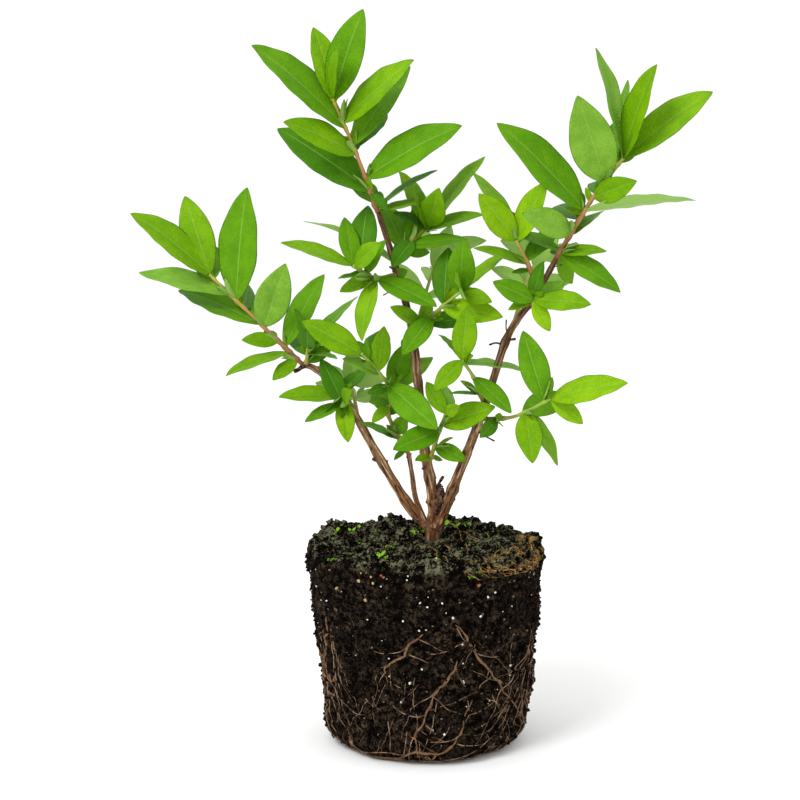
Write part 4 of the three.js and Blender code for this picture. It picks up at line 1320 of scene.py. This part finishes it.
class HaskapBall(bpy.types.PropertyGroup):
    peat: colour_property(name="Peat", description="Colour of the moist peat", default=linear("#070504"))
    peat_brown: colour_property(
        name="Brown grains", description="Colour of its lighter grains", default=linear("#2b231c"))
    peat_fibre: colour_property(
        name="Fibres", description="Colour of its fibres", default=linear("#8a745c"))
    peat_moss: colour_property(
        name="Moss", description="Colour of the thin moss on top", default=linear("#7c7b60"))
    root_brown: colour_property(
        name="Old roots", description="Colour of the thick roots", default=linear("#816044"))
    root_tan: colour_property(
        name="Young roots", description="Colour of the fine roots", default=linear("#9a7e64"))
    clump: FloatProperty(
        name="Clump height", description="Height of the clumps on top, in millimetres",
        default=3.2, min=0.0, max=8.0)
    crumbs: IntProperty(
        name="Crumbs", description="How many loose crumbs lie on top", default=1500, min=0, max=4000)
    fine_roots: IntProperty(
        name="Fine roots", description="How many fine roots run over the side", default=280, min=0, max=900)


class HaskapStage(bpy.types.PropertyGroup):
    floor: colour_property(
        name="Floor", description="Colour of the plain floor", default=linear("#fafafa"))
    sky: FloatProperty(
        name="Sky", description="Strength of the white surroundings", default=1.08, min=0.0, max=5.0)
    key: FloatProperty(
        name="Key light", description="Power of the soft light from the left",
        default=16.0, min=0.0, max=200.0, subtype="POWER")


class HASKAP_OT_stage(bpy.types.Operator):
    """Lay the plain pale floor, and set up the soft studio light and the camera"""

    bl_idname = "haskap.stage"
    bl_label = "Stage"

    def execute(self, context):
        settings = context.scene.haskap_stage
        material, add = start_material("White paper sweep")
        shader = add("BsdfPrincipled", {
            "Base Color": (*settings.floor, 1), "Roughness": 0.9, "Specular IOR Level": 0.1,
        })
        add("OutputMaterial", {"Surface": shader})
        bm = bmesh.new()
        bmesh.ops.create_circle(bm, cap_ends=True, segments=96, radius=FLOOR_RADIUS)
        bmesh.ops.translate(bm, vec=Vector((0, 0, -FLOOR_DROP)), verts=bm.verts)
        mesh = bpy.data.meshes.new("floor")
        bm.to_mesh(mesh)
        bm.free()
        mesh.materials.append(material)
        floor = bpy.data.objects.new("floor", mesh)
        context.scene.collection.objects.link(floor)
        world = bpy.data.worlds.new("White room")
        context.scene.world = world
        world.use_nodes = True
        background = world.node_tree.nodes["Background"]
        background.inputs["Color"].default_value = (1, 1, 1, 1)
        background.inputs["Strength"].default_value = settings.sky
        self.add_light(context, settings.key)
        self.add_camera(context)
        context.scene.view_settings.view_transform = "Standard"
        return {"FINISHED"}

    def add_light(self, context, power):
        """The large soft light from the upper left."""
        light = bpy.data.lights.new("key", "AREA")
        light.energy = power
        light.shape = "DISK"
        light.size = LIGHT_SIZE
        holder = bpy.data.objects.new("key", light)
        holder.location = LIGHT_PLACE
        holder.rotation_euler = (LIGHT_AIM - LIGHT_PLACE).to_track_quat("-Z", "Y").to_euler()
        context.scene.collection.objects.link(holder)

    def add_camera(self, context):
        """The camera where the photograph's stood."""
        camera = bpy.data.cameras.new("camera")
        camera.sensor_width = SENSOR_WIDTH
        camera.lens = SENSOR_WIDTH * FOCAL_PIXELS / PICTURE_SIZE
        camera.clip_start = 0.05
        camera.clip_end = 50.0
        holder = bpy.data.objects.new("camera", camera)
        holder.location = CAMERA_PLACE * METRES
        holder.rotation_euler = (math.radians(90 - CAMERA_PITCH), 0, 0)
        context.scene.collection.objects.link(holder)
        context.scene.camera = holder


class HASKAP_OT_wood(bpy.types.Operator):
    """Cover the trunk and the stems with peeling bark, and add the dead stubs"""

    bl_idname = "haskap.wood"
    bl_label = "Trunk and stems"

    def execute(self, context):
        settings = context.scene.haskap_wood
        bark = bark_material(
            "Haskap bark, dry and peeling", settings.bark, settings.bark_cracks, settings.bark_lips,
            settings.bark_warm,
        )
        bm, layer = new_mesh()
        add_trunk(bm, layer, settings.ridge)
        for column, (name, path) in enumerate(STEM_PATHS.items(), start=1):
            add_stem(bm, layer, column, name, path, settings.ridge)
        finish_piece("bark", bm, bark, ["trunk", *STEMS])
        dead = mottled_material(
            "Dead wood, grey brown", linear("#1c1410"), linear("#6e5442"), size=1.8, roughness=0.9,
            relief=0.6,
        )
        bm, layer = new_mesh()
        for number, (name, along, clock, lean, length, radius) in enumerate(STUBS):
            foot = point_on(STEM_PATHS[name], along)
            add_stub(bm, layer, foot, pointing(clock, lean), length, radius, 50 + number)
        add_burl(bm, layer, settings.ridge)
        lumps = []
        for number, along in enumerate(BURL_KNOTS):
            lumps += knot_lumps(BURL_PATH, along, 0.7 * BURL_RADIUS, 1.2, 150 + number)
        for number, (name, along, size) in enumerate(KNOTS):
            foot, tip = STEMS[name][1]
            radius = foot + (tip - foot) * along
            lumps += knot_lumps(STEM_PATHS[name], along, radius, size, 90 + number)
        add_lumps(bm, lumps)
        finish_piece("dead_stubs", bm, dead)
        return {"FINISHED"}


class HASKAP_OT_shoots(bpy.types.Operator):
    """Grow the young shoots that carry the leaves"""

    bl_idname = "haskap.shoots"
    bl_label = "Shoots"

    def execute(self, context):
        tan = shoot_material(
            "Leader shoot, tan skin", linear("#7e5234"), linear("#a67c48"), linear("#a2a040"),
        )
        green = shoot_material(
            "Side shoot, green skin", linear("#8c7440"), linear("#9aa04a"), linear("#8fae3c"),
        )
        for piece, material, chosen in (
            ("leader_shoots", tan, [name for name in SHOOTS if name in LEADERS]),
            ("side_shoots", green, [name for name in SHOOTS if name not in LEADERS]),
        ):
            bm, layer = new_mesh()
            for name in chosen:
                add_shoot(bm, layer, SHOOT_PATHS[name], GROWN_LEAVES[name])
            finish_piece(piece, bm, material, chosen)
        return {"FINISHED"}


class HASKAP_OT_leaves(bpy.types.Operator):
    """Dress every shoot with its leaves, one piece for each age of leaf; the deep one is partly painted shade
    """

    bl_idname = "haskap.leaves"
    bl_label = "Leaves"

    def execute(self, context):
        settings = context.scene.haskap_leaves
        draw = seeded(LEAF_SEED)
        by_age = {}
        for leaves in GROWN_LEAVES.values():
            for leaf in leaves:
                ages = LEAF_AGES[leaf["age"]]
                age = ages[int(next(draw) * 2)]
                leaf.update(blade_shape(draw, leaf["length"]))
                by_age.setdefault(age, []).append(leaf)
        small = {}
        for number, (name, leaves) in enumerate(GROWN_LEAVES.items()):
            for leaf in axil_leaves(SHOOT_PATHS[name], leaves, seeded(AXIL_SEED + number)):
                small.setdefault(AXIL_AGES[number % len(AXIL_AGES)], []).append(leaf)
        under = tuple(settings.underside)
        for age, leaves in by_age.items():
            upper = tuple(getattr(settings, age))
            deep = tuple(share * c for share, c in zip(DEEPENED, upper))
            material = leaf_material(f"Haskap leaf, {age}", upper, deep, under, settings.vein_relief)
            bm, layer = new_mesh()
            for leaf in leaves:
                add_leaf(bm, layer, leaf)
            for leaf in small.get(age, ()):
                add_leaf(bm, layer, leaf, AXIL_COLUMNS, AXIL_ROWS)
            finish_piece(f"leaves_{age}", bm, material, list(SHOOTS))
        return {"FINISHED"}


class HASKAP_OT_peat(bpy.types.Operator):
    """Form the root ball's peat, with its crumbs, perlite and grit"""

    bl_idname = "haskap.peat"
    bl_label = "Peat"

    def execute(self, context):
        settings = context.scene.haskap_ball
        peat = peat_material(
            "Potting peat, moist", settings.peat, settings.peat_brown, settings.peat_fibre,
            settings.peat_moss,
        )
        finish_piece("peat", self.pressed_ball(settings.clump), peat, ["root_ball"])
        finish_piece("peat_crumbs", self.crumbs(settings), peat)
        dry = mottled_material(
            "Peat fibre, dry", linear("#3a2e24"), settings.peat_fibre, size=1.2, roughness=0.9, relief=0.3,
        )
        finish_piece("peat_flecks", self.flecks(), dry)
        for piece, name, low, high, pattern, roughness, relief, pixels, size, more, seed in GRAINS:
            stone = mottled_material(name, linear(low), linear(high), pattern, roughness, relief)
            finish_piece(piece, self.grains(pixels, settings.clump, size, more, seed), stone)
        return {"FINISHED"}

    def pressed_ball(self, clump):
        """Spins the ball's profile round, then pushes every vertex out to its crumbly surface."""
        flat = BALL_FOOT_RADIUS - BALL_EDGE_ROUND
        inner = BALL_TOP_RADIUS - RIM_ROUND
        spots = [(flat * i / FOOT_RINGS, 0.0) for i in range(FOOT_RINGS + 1)]
        spots += [(None, BALL_HEIGHT * i / SIDE_RINGS) for i in range(1, SIDE_RINGS + 1)]
        spots += [(inner * (1 - i / TOP_RINGS), BALL_HEIGHT) for i in range(1, TOP_RINGS + 1)]
        bm = bmesh.new()
        verts = [bm.verts.new((ball_reach(0, h) if r is None else r, 0, h)) for r, h in spots]
        edges = [bm.edges.new(pair) for pair in zip(verts, verts[1:])]
        bmesh.ops.spin(
            bm, geom=verts + edges, cent=(0, 0, 0), axis=(0, 0, 1), angle=2 * math.pi, steps=BALL_SEGMENTS,
            use_merge=True,
        )
        bmesh.ops.remove_doubles(bm, verts=bm.verts, dist=1e-4)
        # Each vertex keeps its cobble's height, which the peat's colour uses as painted shade in the creases
        # and painted light on the raised cobbles
        relief = bm.verts.layers.float.new(RELIEF_NAME)
        for vert in bm.verts:
            if vert.co.z > BALL_HEIGHT - 0.01:
                level = Vector((vert.co.x, vert.co.y, 0))
                vert[relief] = 0.5 * cobbles(level, TOP_COBBLE) + 0.8 * cobbles(level, TOP_CRUMB)
            else:
                vert[relief] = cobbles(vert.co, SIDE_COBBLE)
            vert.co = self.crumbled(vert.co, clump)
        bmesh.ops.recalc_face_normals(bm, faces=bm.faces)
        return bm

    def crumbled(self, place, clump):
        """Where a point of the pressed form lies on the crumbly surface."""
        radius = math.hypot(place.x, place.y)
        if radius < 1e-6:
            rise = top_rise(place.x, place.y, clump) if place.z > 1 else 0
            return place + Vector((0, 0, rise))
        angle = math.atan2(place.x, -place.y)
        if place.z < 0.01:
            return place
        on_top = place.z > BALL_HEIGHT - 0.01
        reach = radius if on_top else ball_reach(angle, place.z)
        outer = smooth_step(radius, 40, 58) if on_top else 1.0
        plain = Vector((place.x * reach / radius, place.y * reach / radius, place.z))
        scale = (reach + outer * side_push(plain)) / radius
        lifted = top_rise(place.x, place.y, clump) * smooth_step(place.z, BALL_HEIGHT - 9, BALL_HEIGHT)
        return Vector((place.x * scale, place.y * scale, place.z + lifted))

    def crumbs(self, settings):
        """Loose crumbs: large ones on the top and its rim, small ones that stand out of the side."""
        lumps = []
        draw = seeded(CRUMB_SEED)
        for number in range(settings.crumbs):
            x, y = anywhere_on_top(draw, 0.985 * BALL_TOP_RADIUS)
            near_rim = smooth_step(math.hypot(x, y), 42, 60)
            size = 0.5 + 1.7 * next(draw) ** 3 + 0.6 * near_rim * next(draw)
            if from_trunk(x, y) > 6 + size:
                place = top_spot(x, y, settings.clump, 0.3 * size)
                lumps.append((place, size, COARSE_LUMP, 1000 + number))
        for number in range(LARGE_CRUMBS):
            x, y = anywhere_on_top(draw, BALL_TOP_RADIUS - 3.5)
            size = 1.5 + 1.6 * next(draw) ** 2
            if from_trunk(x, y) > 9 + size:
                place = top_spot(x, y, settings.clump, 0.2 * size)
                lumps.append((place, size, FINE_LUMP, 3000 + number))
        for number in range(SIDE_CRUMBS):
            height = 3 + (BALL_HEIGHT - 5) * next(draw)
            size = 0.4 + 1.4 * next(draw) ** 3
            place = side_spot(360 * next(draw), height, 0.2 * size)
            lumps.append((place, size, COARSE_LUMP, 5000 + number))
        return lump_mesh(lumps)

    def flecks(self):
        """Small dry flecks and short fibres that lie in the side."""
        lumps = []
        draw = seeded(FLECK_SEED)
        for number in range(FLECKS):
            place = side_spot(360 * next(draw), 2 + (BALL_HEIGHT - 3) * next(draw), 0.15)
            lumps.append((place, 0.25 + 0.55 * next(draw) ** 2, COARSE_LUMP, FLECK_SEED * 100 + number))
        return lump_mesh(lumps)

    def grains(self, pixels, clump, size, count, seed):
        """Grains pressed into the ball: those that the photograph shows, and a seeded few elsewhere."""
        draw = seeded(seed)
        lumps = []
        for number, pixel in enumerate(pixels):
            place = on_ball(pixel, clump, 0.2 * size)
            lumps.append((place, size * (0.8 + 0.5 * next(draw)), FINE_LUMP, seed + number))
        for number in range(count):
            height = 22 + 80 * next(draw) ** 0.7
            grain_size = size * (0.45 + 0.6 * next(draw) ** 2)
            place = side_spot(360 * next(draw), height, 0.1)
            lumps.append((place, grain_size, FINE_LUMP, seed * 100 + number))
        return lump_mesh(lumps)


class HASKAP_OT_roots(bpy.types.Operator):
    """Lay the thick and the fine roots over the peat"""

    bl_idname = "haskap.roots"
    bl_label = "Roots"

    def execute(self, context):
        settings = context.scene.haskap_ball
        clump = settings.clump
        draw = seeded(ROOT_SEED)
        dull = tuple(0.45 * c for c in settings.root_brown)
        brown = mottled_material(
            "Woody root, brown skin", dull, settings.root_brown, size=2.2, roughness=0.8, relief=0.3,
        )
        bm, layer = new_mesh()
        old_roots = [[on_ball(pixel, clump, 0.45) for pixel in pixels] for pixels in WOODY_ROOT_PIXELS]
        for clock in BACK_ROOT_CLOCKS:
            heading = math.radians(50) * (next(draw) - 0.5)
            old_roots.append(wandering_root(draw, clock, 84 - 40 * next(draw), 60, heading))
        for path in old_roots:
            add_root(bm, layer, crooked(path, draw, 0.5, clump, 0.5), 0.8, 8, 110, 0.6)
        finish_piece("woody_roots", bm, brown)
        tan = mottled_material(
            "Fine root, tan", linear("#4a3424"), settings.root_tan, size=3.0, roughness=0.8, relief=0.15,
        )
        bm, layer = new_mesh()
        for path in old_roots:
            self.add_side_roots(bm, layer, draw, path)
        for number in range(settings.fine_roots):
            clock = 360 * next(draw)
            if next(draw) < 0.4:
                clock = FLANK_CLOCKS[int(3 * next(draw))] + 44 * (next(draw) - 0.5)
            height = 10 + 62 * next(draw) ** 1.4
            length = 12 + 52 * next(draw) ** 1.3
            path = wandering_root(draw, clock, height, length, math.radians(110) * (next(draw) - 0.5))
            add_root(bm, layer, path, 0.13 + 0.22 * next(draw) ** 2, 4, len(path) * 2)
        for clock in FOOT_ROOT_CLOCKS:
            path = wandering_root(draw, clock, 2.2, 30 + 20 * next(draw), math.radians(85), 20)
            add_root(bm, layer, path, 0.4, 5, len(path) * 2)
        finish_piece("fine_roots", bm, tan)
        mat = mottled_material(
            "Root mat, orange tan", linear("#523a1e"), linear("#b48c50"), size=2.5, roughness=0.85,
            relief=0.15,
        )
        bm, layer = new_mesh()
        for number in range(MAT_ROOTS):
            path = rim_root(draw, clump)
            add_root(bm, layer, path, 0.12 + 0.24 * next(draw) ** 2, 4, len(path) * 3)
        for pixels in PALE_ROOT_PIXELS:
            path = [on_ball(pixel, clump, 0.7) for pixel in pixels]
            add_root(bm, layer, crooked(path, draw, 0.3, clump, 0.7), 0.4, 5, 30)
        finish_piece("root_mat", bm, mat)
        return {"FINISHED"}

    def add_side_roots(self, bm, layer, draw, path):
        """Finer roots that fork off an old one."""
        for number in range(FORKS):
            place = point_on(path, (number + next(draw)) / FORKS)
            heading = math.radians(-75 if number % 2 else 75) * (0.4 + 0.6 * next(draw))
            length = 9 + 16 * next(draw)
            side = wandering_root(draw, ball_clock(place), max(place.z, 2), length, heading)
            add_root(bm, layer, side, 0.22 + 0.15 * next(draw), 5, len(side) * 2)


class HASKAP_OT_seedlings(bpy.types.Operator):
    """Sow the few seedlings and tufts of moss on the peat"""

    bl_idname = "haskap.seedlings"
    bl_label = "Seedlings and moss"

    def execute(self, context):
        clump = context.scene.haskap_ball.clump
        draw = seeded(SEEDLING_SEED)
        thin = leaf_material(
            "Seedling leaf, thin and fresh", linear("#8fc424"), linear("#74a81c"), linear("#a8d058"),
            vein_relief=0.05,
        )
        bm, layer = new_mesh()
        for pixel in SEEDLING_PIXELS:
            add_seedling(bm, layer, on_ball(pixel, clump, 0.2), draw)
        for number in range(LOOSE_SEEDLINGS):
            away = 50 * math.sqrt(next(draw))
            x, y = round_from_front(math.radians(100 + 160 * next(draw)), away)
            add_seedling(bm, layer, top_spot(x, y, clump, 0.2), draw)
        finish_piece("seedlings", bm, thin)
        green = mottled_material(
            "Moss, soft and green", linear("#2c3a12"), linear("#76962e"), size=1.0, roughness=0.95,
            relief=0.4,
        )
        lumps = []
        for place in [on_ball(pixel, clump, 0.1) for pixel in MOSS_PIXELS]:
            for number in range(TUFT_LUMPS):
                spread = Vector((5 * (next(draw) - 0.5), 5 * (next(draw) - 0.5), 0.8 * next(draw)))
                lumps.append((place + spread, 0.35 + 0.4 * next(draw), COARSE_LUMP, 600 + len(lumps)))
        for number in range(LOOSE_MOSS):
            x, y = anywhere_on_top(draw, BALL_TOP_RADIUS - 6.5)
            place = top_spot(x, y, clump, 0.3)
            lumps.append((place, 0.3 + 0.6 * next(draw), COARSE_LUMP, 900 + number))
        finish_piece("moss", lump_mesh(lumps), green)
        return {"FINISHED"}


PARTS = (
    HASKAP_OT_stage, HASKAP_OT_wood, HASKAP_OT_shoots, HASKAP_OT_leaves, HASKAP_OT_peat, HASKAP_OT_roots,
    HASKAP_OT_seedlings,
)


class HASKAP_PT_panel(bpy.types.Panel):
    bl_idname = "HASKAP_PT_panel"
    bl_label = "Haskap bush"
    bl_space_type = "VIEW_3D"
    bl_region_type = "UI"
    bl_category = "Haskap"

    def draw(self, context):
        layout = self.layout
        for part in PARTS:
            layout.operator(part.bl_idname)
        for key, title in SETTINGS_TITLES.items():
            box = layout.box()
            box.label(text=title)
            group = getattr(context.scene, key)
            for name in group.__annotations__:
                box.prop(group, name)


SETTINGS = {
    "haskap_wood": HaskapWood,
    "haskap_leaves": HaskapLeaves,
    "haskap_ball": HaskapBall,
    "haskap_stage": HaskapStage,
}
SETTINGS_TITLES = {
    "haskap_wood": "Wood",
    "haskap_leaves": "Leaves",
    "haskap_ball": "Root ball",
    "haskap_stage": "Stage",
}


def register():
    for group in SETTINGS.values():
        bpy.utils.register_class(group)
    for part in PARTS:
        bpy.utils.register_class(part)
    bpy.utils.register_class(HASKAP_PT_panel)
    for key, group in SETTINGS.items():
        setattr(bpy.types.Scene, key, PointerProperty(type=group))


def unregister():
    for key in SETTINGS:
        delattr(bpy.types.Scene, key)
    bpy.utils.unregister_class(HASKAP_PT_panel)
    for part in reversed(PARTS):
        bpy.utils.unregister_class(part)
    for group in SETTINGS.values():
        bpy.utils.unregister_class(group)


def main():
    register()
    for part in PARTS:
        group, action = part.bl_idname.split(".")
        getattr(getattr(bpy.ops, group), action)()


if __name__ == "__main__":
    main()
